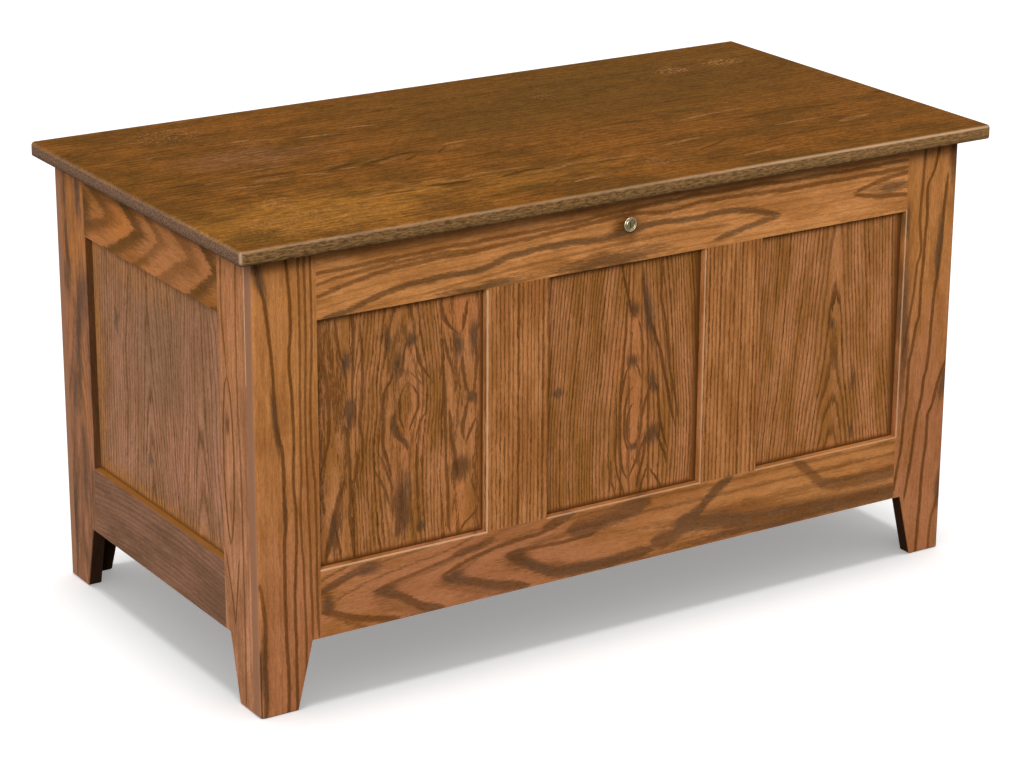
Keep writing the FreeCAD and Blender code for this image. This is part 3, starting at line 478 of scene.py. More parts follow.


# The pale colour of arrises in a stain is worn wood with a painted highlight on it.
STAIN = {
    "front": tints(light=(188, 125, 74), deep=(158, 100, 52), dark=(96, 56, 20), smoke=(96, 68, 46),
                   rubbed=(228, 186, 146), gold=(186, 124, 62), rose=(164, 104, 74)),
    "front rail": tints(light=(204, 138, 80), deep=(172, 112, 58), dark=(96, 58, 22), smoke=(98, 70, 44)),
    "panel": tints(light=(184, 122, 76), deep=(150, 97, 46), dark=(88, 52, 20), smoke=(90, 67, 48),
                   gold=(186, 116, 66)),
    # Its corner colour is the painted shade in the side panel's corners.
    "side panel": tints(light=(176, 126, 96), deep=(152, 108, 76), dark=(112, 74, 42), smoke=(112, 92, 68),
                        corner=(118, 76, 24), gold=(180, 118, 52), rose=(184, 126, 96)),
    "side gold": tints(light=(196, 136, 99), deep=(160, 108, 72), dark=(112, 68, 28), smoke=(98, 74, 54),
                       amber=(192, 126, 74), rubbed=(226, 196, 160)),
    "side amber": tints(light=(186, 119, 68), deep=(154, 98, 46), dark=(100, 66, 30), smoke=(96, 70, 42),
                        gold=(196, 120, 52), rose=(190, 126, 80)),
    "side blotchy": tints(light=(172, 116, 82), deep=(120, 86, 64), dark=(100, 66, 42), smoke=(100, 78, 64),
                          amber=(190, 120, 56)),
    "side grey": tints(light=(146, 105, 80), deep=(122, 88, 66), dark=(92, 62, 46), smoke=(90, 70, 60)),
    "lid": tints(light=(120, 73, 23), deep=(93, 59, 16), dark=(66, 40, 10), smoke=(66, 45, 17),
                 rubbed=(196, 164, 132), gold=(146, 97, 36), olive=(82, 57, 15), rose=(122, 82, 52),
                 rim=(128, 96, 60), end=(124, 96, 76), pale=(150, 104, 62)),
    "plain": tints(light=(190, 146, 100), deep=(168, 124, 82), dark=(132, 92, 58), smoke=(128, 98, 70)),
}
# The painted shade on the inward faces of the feet, under the body.
FOOT_SHADE = shade(34, 22, 14)
EDGE_GREY = shade(156, 112, 86)


def new_material(name):
    """An empty material with its shader: the material, its tree and the shader."""
    material = bpy.data.materials.new(name)
    material.use_nodes = True
    tree = material.node_tree
    return material, tree, tree.nodes["Principled BSDF"]


def object_point(tree):
    """The place on the piece, in millimetres."""
    place = tree.nodes.new("ShaderNodeTexCoord")
    mapping = tree.nodes.new("ShaderNodeMapping")
    mapping.inputs["Scale"].default_value = (PER_METRE, PER_METRE, PER_METRE)
    tree.links.new(place.outputs["Object"], mapping.inputs["Vector"])
    return Signal(tree, mapping.outputs[0])


def bump(tree, height, shader, distance):
    node = tree.nodes.new("ShaderNodeBump")
    node.inputs["Distance"].default_value = distance
    connect(tree, height, node.inputs["Height"])
    tree.links.new(node.outputs[0], shader.inputs["Normal"])


class Board:
    """One board as its material sees it: the place on it in millimetres, its stain and its fine grain."""

    def __init__(self, tree, across, along, face, stain, rag, coarse, seed):
        self.tree, self.stain, self.seed = tree, stain, seed
        self.x, self.y, self.z = split(object_point(tree))
        axes = {"x": self.x, "y": self.y, "z": self.z}
        depth_axis, depth = face
        self.inward = size_of(axes[depth_axis] - depth)
        self.aside, self.up = axes[across], axes[along]
        self.point = join(tree, self.aside, self.inward, self.up)
        wide, long = coarse
        self.fine = use_effect(tree, GRAIN, Seed=seed,
                               Point=join(tree, self.aside / wide, self.inward / wide, self.up / long))
        self.ragged = {"Rag": rag, **{label: self.fine[label] for label in ("Streak", "Hair", "Wander")}}

    def away_from(self, across, along, half_width, half_length):
        """How far a place is from the middle of an oval: 1 on the oval itself."""
        wide, long = (self.aside - across) / half_width, (self.up - along) / half_length
        return root(wide * wide + long * long)


def growth(heart, depth=40.0, ring=7.0, course=None, reach=60.0, station=None, eye=None, skew=0.0,
           waver=4.0, swirl=0.0):
    """How a board's rings lie, in millimetres. Course and station are drawn along the board: how far the
    heart strays aside, which rings within reach of it follow, and the count along it. An eye adds to the
    count near the heart only."""
    return {"Heart": heart, "Depth": depth, "Ring": ring, "Reach": reach, "Skew": skew, "Waver": waver,
            "Swirl": swirl}, {"Course": course, "Station": station, "Eye": eye}


LEAF_SEED = 13.0


def ring_count(board, leaves):
    """The ring count of a board of one leaf, or of several side by side: (where it ends, its growth)."""
    count = None
    for index, (end, (plain, curves)) in enumerate(reversed(leaves)):
        followed = {label: drawn(board.up, places) for label, places in curves.items() if places}
        own = use_effect(board.tree, RINGS, Point=board.point, Seed=board.seed + LEAF_SEED * index,
                         **plain, **followed)["Count"]
        if count is None:
            count = own
        else:
            inside = calculate(board.tree, "LESS_THAN", board.aside, end)
            count = count + inside * (own - count)
    return count


def line_masks(board, lines):
    """The width and mask of each line drawn on a board: (width, strength, (along, across) places, fade)."""
    for width, strength, places, *fade in lines:
        mask = use_effect(board.tree, LINE, Aside=board.aside - drawn(board.up, places), Along=board.up,
                          From=places[0][0], To=places[-1][0], Width=width,
                          Fade=fade[0] if fade else 1.0, **board.ragged)["Mask"]
        yield width, mask * strength


BROAD_LINE = 5.0


def dark_marks(board, flames, lines):
    """The dark figure drawn on a board: its flames with its broad lines, and its fine lines. A flame is
    (across, along, half width, half length, lean)."""
    flame, line = 0.0, 0.0
    for across, along, half_width, half_length, lean in flames:
        mask = use_effect(board.tree, FLAME, Aside=board.aside - across, Up=board.up - along,
                          Half_width=half_width, Half_length=half_length, Lean=lean, **board.ragged)["Mask"]
        flame = larger(mask, flame)
    for width, mask in line_masks(board, lines):
        if width < BROAD_LINE:
            line = larger(mask, line)
        else:
            flame = larger(mask, flame)
    return flame, line


def stained_ground(board, zones):
    """The stained ground under the figure, tinted in zones: (across, along, half width, half length, tint,
    strength)."""
    fine, stain = board.fine, board.stain
    ground = mix(fine["Tone"], stain["light"], stain["deep"])
    for *oval, tint, strength in zones:
        far = board.away_from(*oval) + (fine["Tone"] - 0.5) * 0.6
        zone = (1.0 - soft_step(far, 0.2, 1.2)) * strength * (0.5 + fine["Streak"] * 0.5)
        ground = mix(zone, ground, stain[tint])
    return ground


def pale_marks(board, ground, lines, flecks):
    """Pale lines and flecks on a board's face. A patch of flecks is (across, along, half width, half length,
    strength)."""
    fine, pale = board.fine, 0.0
    for _, mask in line_masks(board, lines):
        pale = larger(mask * (0.35 + fine["Hair"] * 0.45), pale)
    spots = soft_step(fine["Speckle"], 0.6, 0.68)
    for *oval, strength in flecks:
        pale = larger((1.0 - soft_step(board.away_from(*oval), 0.4, 1.3)) * spots * strength, pale)
    return mix(pale * (1.0 - soft_step(board.inward, 4.0, 6.0)), ground, board.stain["pale"])


RIM_BEGINS = 1.5
RIM_ARRIS = 2.2


def bare_rim(board, colour):
    """The lid's rough open-grained edge, paler to the right and at the ends, with its upper arris worn pale
    and a painted highlight on that arris and down the front corners of the ends.
    """
    stain, inward = board.stain, board.inward
    rough = noise(board.point, (2.2, 2.2, 10.0), board.seed + 0.7, detail=4.0, roughness=0.75)
    patchy = noise(board.point, (40, 40, 60), board.seed + 2.7, detail=1.0)
    at_end = soft_step(size_of(board.x), LID_HIGH.x - 5.0, LID_HIGH.x - 1.0)
    paler = soft_step(board.x, -100.0, 450.0)
    edge = dimmed(mix(at_end, stain["rim"], stain["end"]),
                  0.42 + soft_step(rough, 0.36, 0.64) * 0.95 + paler * 0.2 + at_end * 0.08)
    edge = dimmed(edge, 1.0 - soft_step(inward, 10.0, 18.0) * 0.35)
    above_underside = 1.0 - soft_step(inward, LID_THICKNESS - 0.7, LID_THICKNESS - 0.2)
    on_edge = soft_step(inward, RIM_BEGINS, RIM_BEGINS + 2.5) * above_underside
    colour = mix(on_edge * 0.92, colour, edge)
    # The upper arris is worn and carries a painted highlight, paler to the right.
    rim_wear_and_highlight = (0.2 + patchy * 0.5 + paler * 0.5) * (0.7 + rough * 0.4) * (0.7 - at_end * 0.4)
    arris = (1.0 - soft_step(size_of(inward - RIM_ARRIS), 0.4, 2.2)) * rim_wear_and_highlight
    # A painted highlight down the front corners of the lid's ends.
    at_front = 1.0 - soft_step(board.y - LID_LOW.y, 1.5, 5.0)
    corner = at_end * at_front * (1.0 - soft_step(inward, 13.0, 17.0))
    return mix(larger(arris, corner * 0.75), colour, stain["rubbed"])


def paint_corner_shade(board, colour, low, high, low_reach, high_reach):
    """Painted shade against the frame round a panel."""
    mask = use_effect(board.tree, CORNER_SHADE, Point=board.point, Low=low, High=high, Low_reach=low_reach,
                      High_reach=high_reach)["Mask"]
    return mix(mask, colour, board.stain.get("corner", board.stain["dark"]))


def tint_walls(board, colour, walls):
    """A tint on a frame member's wall beside a panel: (place across, tint, strength, start, end)."""
    beside_panel = (soft_step(board.inward, 0.4, 1.4)
                    * (1.0 - soft_step(board.inward, RECESS + 0.5, RECESS + 1.5)))
    for place, tint, strength, start, end in walls:
        mask = (beside_panel * (1.0 - soft_step(size_of(board.aside - place), 0.5, 1.2))
                * soft_step(board.up, start - 1.0, start) * (1.0 - soft_step(board.up, end, end + 1.0)))
        colour = mix(mask * strength * (0.8 + board.fine["Hair"] * 0.2), colour, tint)
    return colour


def paint_arris_wear_and_highlight(board, colour, rubbed):
    """Arrises worn pale with a painted highlight: (place across, reach, strength, start, end)."""
    for place, reach, strength, start, end in rubbed:
        mask = use_effect(board.tree, ARRIS_WEAR_AND_HIGHLIGHT, Point=board.point, Aside=board.aside - place,
                          Inward=board.inward, From=start, To=end, Reach=reach, Seed=board.seed)["Mask"]
        colour = mix(mask * strength, colour, board.stain["rubbed"])
    return colour


def grey_end_grain(board, colour, place):
    """The greyer cut edge of a board whose edge shows at the corner of the body."""
    mask = 1.0 - soft_step(size_of(board.x - place), 0.4, 1.2)
    return mix(mask * (0.75 + board.fine["Streak"] * 0.25), colour, EDGE_GREY)


def paint_foot_shade(board, colour):
    """Painted shade on the faces of a foot that are turned away, below the rails, where the body keeps off the
    light.
    """
    under = 1.0 - soft_step(board.z, FEET_HIGH - 5.0, FEET_HIGH + 3.0)
    within = 1.0 - soft_step(size_of(board.x), RIGHT_X - 2.0, RIGHT_X - 0.5)
    return mix(under * soft_step(board.inward, 0.8, 2.0) * within * 0.95, colour, FOOT_SHADE)


def shade_under_lid(board, colour):
    """The darker strip that the lid's overhang keeps from the light."""
    strip = soft_step(board.z, LID_LOW.z - 27.0, LID_LOW.z - 12.0)
    return dimmed(colour, 1.0 - strip * (1.0 - soft_step(board.inward, 1.0, 4.0)) * 0.5)


OAK_BUMP = 0.25 * MM
SHEEN = 0.03


def oak_material(name, across, along, face, stain, figure, lines=(), pale_lines=(), flames=(), rubbed=(),
                 flecks=(), walls=(), corners=None, zones=(), band=0.4, contrast=0.8, jag=0.5, rag=1.0,
                 grit=1.0, seed=0.0, sheen=SHEEN, edge=None, rim=False, foot=False, lid_shade=False,
                 coarse=(1.0, 1.0)):
    """The oak of one board: its growth rings, dark lines and flames, worn arrises with a painted highlight,
    and painted shade in the corners.
    """
    material, tree, shader = new_material(name)
    board = Board(tree, across, along, face, stain, rag, coarse, seed)
    count = ring_count(board, figure if isinstance(figure, list) else [(None, figure)])
    flame, line = dark_marks(board, flames, lines)
    ground = stained_ground(board, zones)
    if pale_lines:
        ground = pale_marks(board, ground, pale_lines, flecks)
    grain_masks = {label: board.fine[label] for label in ("Streak", "Hair", "Speckle", "Pore", "Cloud")}
    wood = use_effect(tree, OAK, Count=count, Flame=flame, Line=line, Ground=ground, Dark=stain["dark"],
                      Smoke=stain["smoke"], Band=band, Contrast=contrast, Jag=jag, Grit=grit, Seed=seed,
                      **grain_masks)
    colour = wood["Color"]
    if rim:
        colour = bare_rim(board, colour)
    # Painted shade against the frame in a panel's corners.
    if corners:
        colour = paint_corner_shade(board, colour, *corners)
    if walls:
        colour = tint_walls(board, colour, walls)
    # Worn arrises with a painted highlight where they face the light.
    colour = paint_arris_wear_and_highlight(board, colour, rubbed)
    if edge is not None:
        colour = grey_end_grain(board, colour, edge)
    # Painted shade on the inward faces of the feet.
    if foot:
        colour = paint_foot_shade(board, colour)
    if lid_shade:
        colour = shade_under_lid(board, colour)
    connect(tree, colour, shader.inputs["Base Color"])
    connect(tree, wood["Roughness"], shader.inputs["Roughness"])
    bump(tree, wood["Height"], shader, OAK_BUMP)
    shader.inputs["Specular IOR Level"].default_value = sheen
    return material


# ---------------------------------------------------------------- boards

MERGE = 0.001 * MM
FLAT_ANGLE = math.radians(1.0)
SHARP_ANGLE = math.radians(40.0)
ARRIS = 0.5 * MM
LID_ARRIS = 0.3 * MM
ARRIS_STEPS = 3


def merged_copy(node):
    """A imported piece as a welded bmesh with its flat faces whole."""
    mesh = bmesh.new()
    mesh.from_mesh(frame["nodes"][node].data)
    bmesh.ops.remove_doubles(mesh, verts=mesh.verts, dist=MERGE)
    bmesh.ops.dissolve_limit(mesh, angle_limit=FLAT_ANGLE, verts=mesh.verts, edges=mesh.edges)
    return mesh


def ease_arrises(mesh, width):
    """Rounds every sharp outward edge by a little, as sanding does."""
    sharp = [edge for edge in mesh.edges
             if edge.is_manifold and edge.calc_face_angle_signed() > SHARP_ANGLE]
    bmesh.ops.bevel(mesh, geom=sharp, offset=width, offset_type="OFFSET", segments=ARRIS_STEPS,
                    profile=0.5, affect="EDGES", material=-1, clamp_overlap=True)


def new_piece(name, mesh, body, slot, material, *replaced):
    """A finished piece of the chest from a bmesh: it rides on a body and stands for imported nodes."""
    data = bpy.data.meshes.new(name)
    mesh.to_mesh(data)
    mesh.free()
    data.shade_smooth()
    data.set_sharp_from_angle(angle=SHARP_ANGLE)
    piece = bpy.data.objects.new(name, data)
    bpy.context.scene.collection.objects.link(piece)
    data.materials.append(material)
    weighted = piece.modifiers.new("Even shading", "WEIGHTED_NORMAL")
    weighted.keep_sharp = True
    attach(piece, body)
    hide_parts(*replaced)
    return piece


def body_of_node(node):
    return frame["nodes"][node]["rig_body"]


def slot_of_node(node):
    return frame["nodes"][node].data.materials[0].name.split(".")[0]


def dress_board(node, material, width=ARRIS):
    """A packed board with its arrises eased and its own oak."""
    mesh = merged_copy(node)
    ease_arrises(mesh, width)
    return new_piece(node + "_board", mesh, body_of_node(node), slot_of_node(node), material, node)


def panel_corners(opening, low_reach, high_reach):
    """Where a panel's opening begins and ends, across and along, and how far the painted shade reaches in."""
    low, high = opening
    return ((low, 0.0, OPENING_LOW), (high, 0.0, OPENING_HIGH),
            (low_reach[0], 1.0, low_reach[1]), (high_reach[0], 1.0, high_reach[1]))


# Each board: the axis its grain runs along, how strong and wide its dark bands are, how its rings lie, and
# what is drawn on it, in millimetres. The places of a line are (along, across).
FRONT_BOARDS = {
    "stile_left": dict(
        along="z", band=0.36, contrast=0.28, jag=0.3, rag=0.35, seed=3.0, edge=LEFT_X, lid_shade=True,
        figure=growth(-330.0, depth=50.0, ring=8.0, waver=1.2),
        lines=[(3.0, 1.0, [(-20, -493), (46, -491), (86, -493), (156, -494), (219, -494), (253, -491),
                            (286, -493), (326, -493), (359, -498), (399, -503), (443, -505), (486, -509),
                            (523, -513), (553, -520), (600, -528)]),
               (2.6, 1.0, [(-20, -480), (86, -480), (119, -481), (186, -479), (253, -477), (303, -480),
                            (353, -478), (393, -479), (426, -481), (453, -483), (493, -480), (546, -482),
                            (600, -490)]),
               (2.1, 0.85, [(-20, -475), (86, -466), (126, -467), (186, -468), (253, -471), (319, -469),
                           (386, -469), (486, -468), (600, -469)]),
               (2.1, 0.85, [(86, -457), (153, -458), (219, -459), (286, -461), (386, -462), (486, -460),
                           (600, -461)]),
               (2.1, 0.85, [(86, -448), (153, -450), (253, -450), (319, -453), (386, -455), (486, -452),
                           (600, -453)]),
               (3.2, 0.85, [(-20, -526), (36, -522), (69, -523), (103, -522), (136, -523), (180, -528)])],
        flames=[(-501.0, 375.0, 4.6, 52.0, -0.12), (-520.0, 560.0, 9.0, 30.0, -0.3),
                (-492.0, 262.0, 3.6, 30.0, 0.0), (-524.0, 60.0, 6.0, 70.0, 0.0)],
        zones=[(-470.0, 500.0, 110.0, 260.0, "gold", 0.5), (-480.0, 60.0, 110.0, 220.0, "rose", 0.6)]),
    "stile_right": dict(
        along="z", band=0.3, contrast=0.25, jag=0.4, rag=0.4, seed=14.0, edge=RIGHT_X, lid_shade=True,
        rubbed=[(RIGHT_OPENING[1], 2.0, 0.5, OPENING_LOW, OPENING_HIGH)],
        figure=growth(330.0, course=[(0, -15), (300, 0), (586, 14)], reach=900.0, depth=60.0, ring=14.0,
                      waver=3.0),
        lines=[(2.9, 0.9, [(286, 448), (333, 456), (379, 464), (419, 468), (439, 473), (459, 471), (493, 469),
                           (536, 471), (600, 474)]),
               (3.1, 1.0, [(96, 446), (123, 449), (169, 456), (203, 458), (236, 461), (269, 461), (303, 466),
                            (333, 471), (353, 476), (379, 476), (419, 478), (453, 479), (486, 481),
                            (519, 479), (539, 486), (559, 493), (600, 500)]),
               (3.3, 1.0, [(80, 464), (103, 468), (136, 473), (166, 476), (193, 479), (226, 486), (253, 489),
                           (269, 493), (303, 496), (346, 498), (379, 501), (403, 504), (446, 508),
                           (486, 509), (540, 513)]),
               (3.3, 1.0, [(-20, 489), (69, 493), (103, 494), (136, 496), (166, 499), (193, 499), (213, 506),
                           (243, 514), (280, 528)]),
               (2.8, 0.8, [(-20, 512), (39, 514), (59, 519), (100, 530)])],
        flames=[(504.0, 440.0, 6.0, 56.0, 0.03), (524.0, 245.0, 9.0, 34.0, 0.2),
                (450.0, 330.0, 9.0, 130.0, 0.0), (526.0, 90.0, 8.0, 34.0, 0.1),
                (522.0, 560.0, 9.0, 40.0, 0.0), (448.0, 480.0, 5.0, 30.0, 0.0)],
        zones=[(470.0, 530.0, 110.0, 200.0, "gold", 0.5), (500.0, 80.0, 110.0, 300.0, "rose", 0.7)]),
    "top_rail": dict(
        along="x", band=0.3, contrast=0.35, jag=0.2, rag=0.8, seed=5.0, lid_shade=True, stain="front rail",
        figure=growth(519.0, course=[(-450, -19), (-370, -11), (-300, -7), (-200, -5), (-100, 0), (100, 2),
                                     (450, 0)], reach=400.0, depth=4.0, ring=9.0, waver=0.7),
        lines=[(3.2, 0.8, [(-460, 552), (-444, 553), (-286, 557), (-117, 559), (0, 565), (150, 568),
                           (300, 566), (460, 567)]),
               (3.0, 0.75, [(-460, 536), (-444, 539), (-390, 547), (-330, 550), (-240, 551)]),
               (3.6, 0.85, [(-460, 521), (-444, 524), (-374, 539), (-305, 545), (-192, 548), (-56, 556),
                            (0, 559), (50, 554), (134, 559), (220, 556), (312, 555), (460, 557)]),
               (5.0, 0.95, [(-440, 496), (-420, 498), (-359, 513), (-298, 521), (-223, 522), (-177, 531),
                            (-101, 536), (-41, 533), (0, 537), (50, 541), (98, 538), (137, 541), (186, 535),
                            (236, 523)]),
               (5.0, 0.9, [(128, 504), (150, 509), (180, 514), (210, 519), (236, 522)]),
               (4.0, 0.9, [(352, 533), (380, 541), (410, 547), (460, 552)]),
               (4.0, 0.9, [(352, 532), (375, 528), (400, 524), (460, 519)]),
               (2.5, 0.5, [(-300, 504), (-180, 514), (-60, 521), (60, 524), (160, 522)])],
        flames=[(503.0, -30.0, 14.0, 95.0, 0.03), (499.0, -215.0, 7.0, 75.0, 0.02),
                (535.0, 420.0, 8.0, 40.0, 0.0), (495.0, -410.0, 4.0, 40.0, 0.0)],
        # The dark zone is painted shade round the lock.
        zones=[(545.0, -4.0, 25.0, 27.0, "dark", 1.3)]),
    "bottom_rail": dict(
        along="x", band=0.34, contrast=0.7, jag=0.2, rag=0.55, seed=8.0,
        # Worn recess bottoms with a painted highlight, brightest at the left opening.
        rubbed=[(OPENING_LOW, 2.6, 0.62, *LEFT_OPENING), (OPENING_LOW, 2.4, 0.45, *MIDDLE_OPENING),
                (OPENING_LOW, 2.2, 0.4, *RIGHT_OPENING)],
        figure=growth(130.0, reach=400.0, depth=7.0, ring=27.0, skew=0.018, waver=0.5,
                      course=[(-460, -2), (-369, 1), (-270, -2), (-175, 9), (0, 8), (110, 4), (460, -2)],
                      station=[(-460, 5.3), (-441, 5.0), (-369, 4.0), (-270, 3.0), (-175, 2.0), (-90, 1.45),
                               (0, 1.2), (110, 1.0), (460, 0.6)]),
        lines=[(6.5, 0.9, [(-462, 140), (-441, 150), (-418, 158), (-395, 166), (-360, 172)]),
               (4.5, 0.85, [(-450, 124), (-430, 119), (-400, 107), (-363, 97), (-330, 90)], 1.6),
               (7.0, 0.95, [(-372, 134), (-352, 129), (-320, 112), (-300, 99), (-268, 90)], 1.3),
               (3.2, 0.75, [(-372, 134), (-343, 140), (-313, 145), (-273, 152), (-240, 157)]),
               (6.0, 0.8, [(-262, 158), (-230, 160), (-195, 166)]),
               (7.0, 0.95, [(-276, 132), (-250, 124), (-220, 113), (-193, 104), (-166, 98), (-140, 90)], 1.3),
               (3.6, 0.9, [(-276, 133), (-245, 143), (-213, 151), (-173, 157), (-127, 160), (-90, 168)]),
               (6.0, 0.8, [(-128, 164), (-105, 171), (-70, 176)]),
               (9.0, 0.95, [(-182, 141), (-155, 129), (-130, 114), (-100, 101), (-40, 98), (50, 102)], 1.2),
               (3.2, 0.85, [(-182, 141), (-160, 143), (-120, 141), (-80, 140), (-40, 143)]),
               (13.0, 0.85, [(-90, 152), (-60, 151), (-20, 157), (15, 163), (45, 172)], -1.3),
               (11.0, 0.95, [(78, 128), (110, 134), (128, 148), (146, 163), (175, 178)]),
               (15.0, 0.9, [(40, 108), (75, 112), (105, 122), (140, 120), (188, 110), (300, 103), (460, 98)]),
               (9.0, 0.75, [(270, 178), (290, 166), (310, 148), (330, 135), (380, 130), (460, 127)], 1.4)],
        flames=[(133.0, -436.0, 16.0, 11.0, 0.0), (133.0, -354.0, 8.0, 18.0, 0.0),
                (131.0, -256.0, 10.0, 18.0, 0.0), (138.0, -162.0, 9.0, 17.0, 0.0),
                (166.0, -380.0, 8.0, 24.0, 0.0), (96.0, 250.0, 8.0, 200.0, 0.0)],
        zones=[(125.0, -230.0, 120.0, 260.0, "rose", 0.7), (140.0, 300.0, 100.0, 160.0, "gold", 0.4)]),
    "mullion_left": dict(
        along="z", band=0.5, contrast=1.35, jag=0.3, seed=21.0,
        rubbed=[(LEFT_OPENING[1], 2.6, 0.66, OPENING_LOW, OPENING_HIGH - 4.0)],
        figure=growth(-420.0, depth=60.0, ring=6.4, waver=1.2)),
    "mullion_right": dict(
        along="z", band=0.5, contrast=1.25, jag=0.3, seed=25.0,
        rubbed=[(MIDDLE_OPENING[1], 2.2, 0.45, OPENING_LOW, OPENING_HIGH - 4.0)],
        figure=growth(420.0, depth=60.0, ring=6.2, waver=1.2)),
    "panel_left": dict(
        along="z", band=0.5, contrast=1.1, jag=0.4, rag=0.7, seed=31.0, stain="panel",
        figure=[(-391.0, growth(-425.0, depth=34.0, ring=9.0, waver=2.6, swirl=2.4)),
                (-269.0, growth(-327.0, depth=26.0, ring=4.1, reach=30.0, waver=2.0, swirl=2.2,
                                course=[(170, 8), (300, -4), (373, 6), (500, 6)],
                                station=[(170, 0.6), (250, 0.4), (373, 0.0), (440, 1.0), (500, 2.0)])),
                (None, growth(-231.0, depth=34.0, ring=9.0, waver=2.6, swirl=3.0))],
        corners=panel_corners(LEFT_OPENING, (3.0, 9.0), (9.0, 12.0)),
        lines=[(2.8, 0.9, [(295, -439), (321, -430), (351, -425), (391, -426), (441, -434)]),
               (2.2, 0.9, [(395, -401), (416, -402), (446, -410), (476, -414), (495, -417)]),
               (2.2, 0.9, [(375, -393), (395, -393), (441, -391), (495, -390)]),
               (3.2, 0.9, [(175, -391), (216, -396), (241, -398), (266, -396), (291, -397), (321, -398),
                           (341, -399), (355, -399)]),
               (4.9, 0.95, [(180, -433), (211, -426), (231, -421), (246, -417), (266, -411), (285, -403)]),
               (2.8, 0.9, [(173, -410), (191, -412), (220, -417)]),
               (2.8, 0.9, [(285, -383), (311, -379), (331, -379), (351, -382), (371, -380), (391, -379),
                           (428, -379), (475, -381)]),
               (4.5, 0.9, [(275, -391), (295, -388), (321, -385)]),
               (3.0, 0.95, [(267, -338), (291, -343), (306, -347), (321, -350), (341, -350), (361, -350),
                            (381, -349), (395, -342), (407, -336)]),
               (2.5, 0.9, [(395, -331), (407, -324), (431, -321), (445, -316)]),
               (2.8, 0.95, [(385, -280), (396, -287), (406, -294), (421, -301), (441, -305), (447, -309)]),
               (2.1, 0.8, [(381, -293), (391, -299), (398, -306), (407, -314)]),
               (2.1, 0.8, [(386, -288), (396, -296), (408, -304)]),
               (3.8, 0.8, [(353, -315), (363, -315), (373, -315)]),
               (2.4, 0.95, [(329, -319), (341, -324), (351, -327), (366, -327), (381, -324), (392, -316)]),
               (2.4, 0.95, [(327, -314), (336, -311), (343, -308), (351, -304), (361, -301), (371, -301),
                            (379, -304), (387, -309), (392, -314)]),
               (2.2, 0.85, [(313, -305), (328, -301), (341, -296), (356, -289), (366, -289), (375, -295)]),
               (6.8, 0.95, [(303, -314), (316, -320), (326, -329), (341, -334), (359, -336)]),
               (2.4, 0.85, [(235, -301), (266, -303), (305, -304)]),
               (2.4, 0.85, [(245, -338), (261, -339), (278, -344), (296, -351), (313, -359)]),
               (2.4, 0.8, [(233, -341), (253, -346), (271, -354), (291, -364)]),
               (3.2, 0.95, [(441, -242), (444, -246), (453, -255), (466, -263), (485, -268)], 1.5),
               (3.2, 0.95, [(442, -242), (445, -238), (461, -234), (485, -229)], 1.5),
               (3.0, 0.9, [(391, -249), (406, -255), (421, -260), (443, -264)]),
               (3.0, 0.9, [(361, -229), (378, -234), (396, -237), (418, -240)]),
               (2.8, 0.8, [(359, -226), (368, -221), (391, -218), (425, -217)]),
               (4.0, 0.9, [(253, -245), (286, -249), (301, -252), (321, -254), (345, -255)]),
               (4.0, 0.9, [(301, -234), (316, -237), (336, -234), (353, -230)]),
               (3.5, 0.9, [(299, -232), (311, -227), (321, -222), (333, -215)]),
               (2.8, 0.85, [(178, -254), (216, -259), (241, -259), (266, -261), (341, -262), (395, -265)]),
               (3.8, 0.9, [(181, -242), (193, -234), (200, -224), (211, -215)])],
        flames=[(-405.0, 431.0, 8.8, 17.2, 0.1), (-398.0, 368.0, 10.6, 25.3, 0.0),
                (-420.0, 219.0, 7.5, 29.9, 0.1), (-345.0, 449.0, 6.2, 20.7, 0.0),
                (-332.0, 418.0, 8.8, 23.0, 0.15), (-313.0, 446.0, 10.0, 10.3, 0.0),
                (-324.0, 233.0, 15.0, 52.9, 0.1), (-299.0, 201.0, 8.8, 8.0, 0.0),
                (-247.0, 428.0, 10.0, 20.7, -0.25), (-226.0, 358.0, 10.0, 8.0, 0.0),
                (-224.0, 433.0, 7.5, 27.6, 0.0), (-240.0, 268.0, 17.5, 19.5, 0.0)],
        zones=[(-243.0, 475.0, 26.0, 50.0, "gold", 0.9), (-245.0, 215.0, 26.0, 50.0, "gold", 0.8),
               (-318.0, 315.0, 30.0, 60.0, "gold", 0.6), (-413.0, 405.0, 20.0, 60.0, "gold", 0.5)]),
    "panel_middle": dict(
        along="z", band=0.5, contrast=1.2, jag=0.25, rag=0.6, seed=37.0, stain="panel",
        figure=growth(21.0, depth=30.0, ring=4.3, reach=34.0, waver=1.2, swirl=2.2,
                      station=[(170, 0.4), (250, 0.0), (350, 1.2), (430, 2.6), (500, 4.2)],
                      eye=[(170, -0.4), (250, 0.0), (350, -1.2), (430, -2.6), (500, -4.2)]),
        corners=panel_corners(MIDDLE_OPENING, (3.0, 9.0), (17.0, 12.0)),
        lines=[(2.5, 1.0, [(416, 24), (428, 12), (441, 9), (458, 4), (495, -4)]),
               (2.0, 0.9, [(366, 32), (383, 31), (401, 28), (419, 22)]),
               (3.4, 1.0, [(266, 82), (296, 74), (321, 69), (346, 63), (366, 59), (381, 53), (398, 47),
                           (416, 39), (441, 33), (475, 29)]),
               (2.5, 0.9, [(266, 89), (316, 79), (351, 72), (386, 68), (403, 66), (426, 61), (441, 57),
                           (453, 58), (495, 57)]),
               (2.5, 0.95, [(200, 11), (221, 2), (241, -1), (266, -2), (291, -3), (316, -3), (331, -2),
                            (351, 1), (381, 3), (408, 5), (441, 5)]),
               (2.5, 0.95, [(200, 11), (218, 20), (233, 27), (251, 35), (259, 37)]),
               (2.5, 0.95, [(317, 0), (336, 3), (351, 8), (359, 14)]),
               (2.5, 0.95, [(331, 31), (338, 28), (351, 24), (359, 18)]),
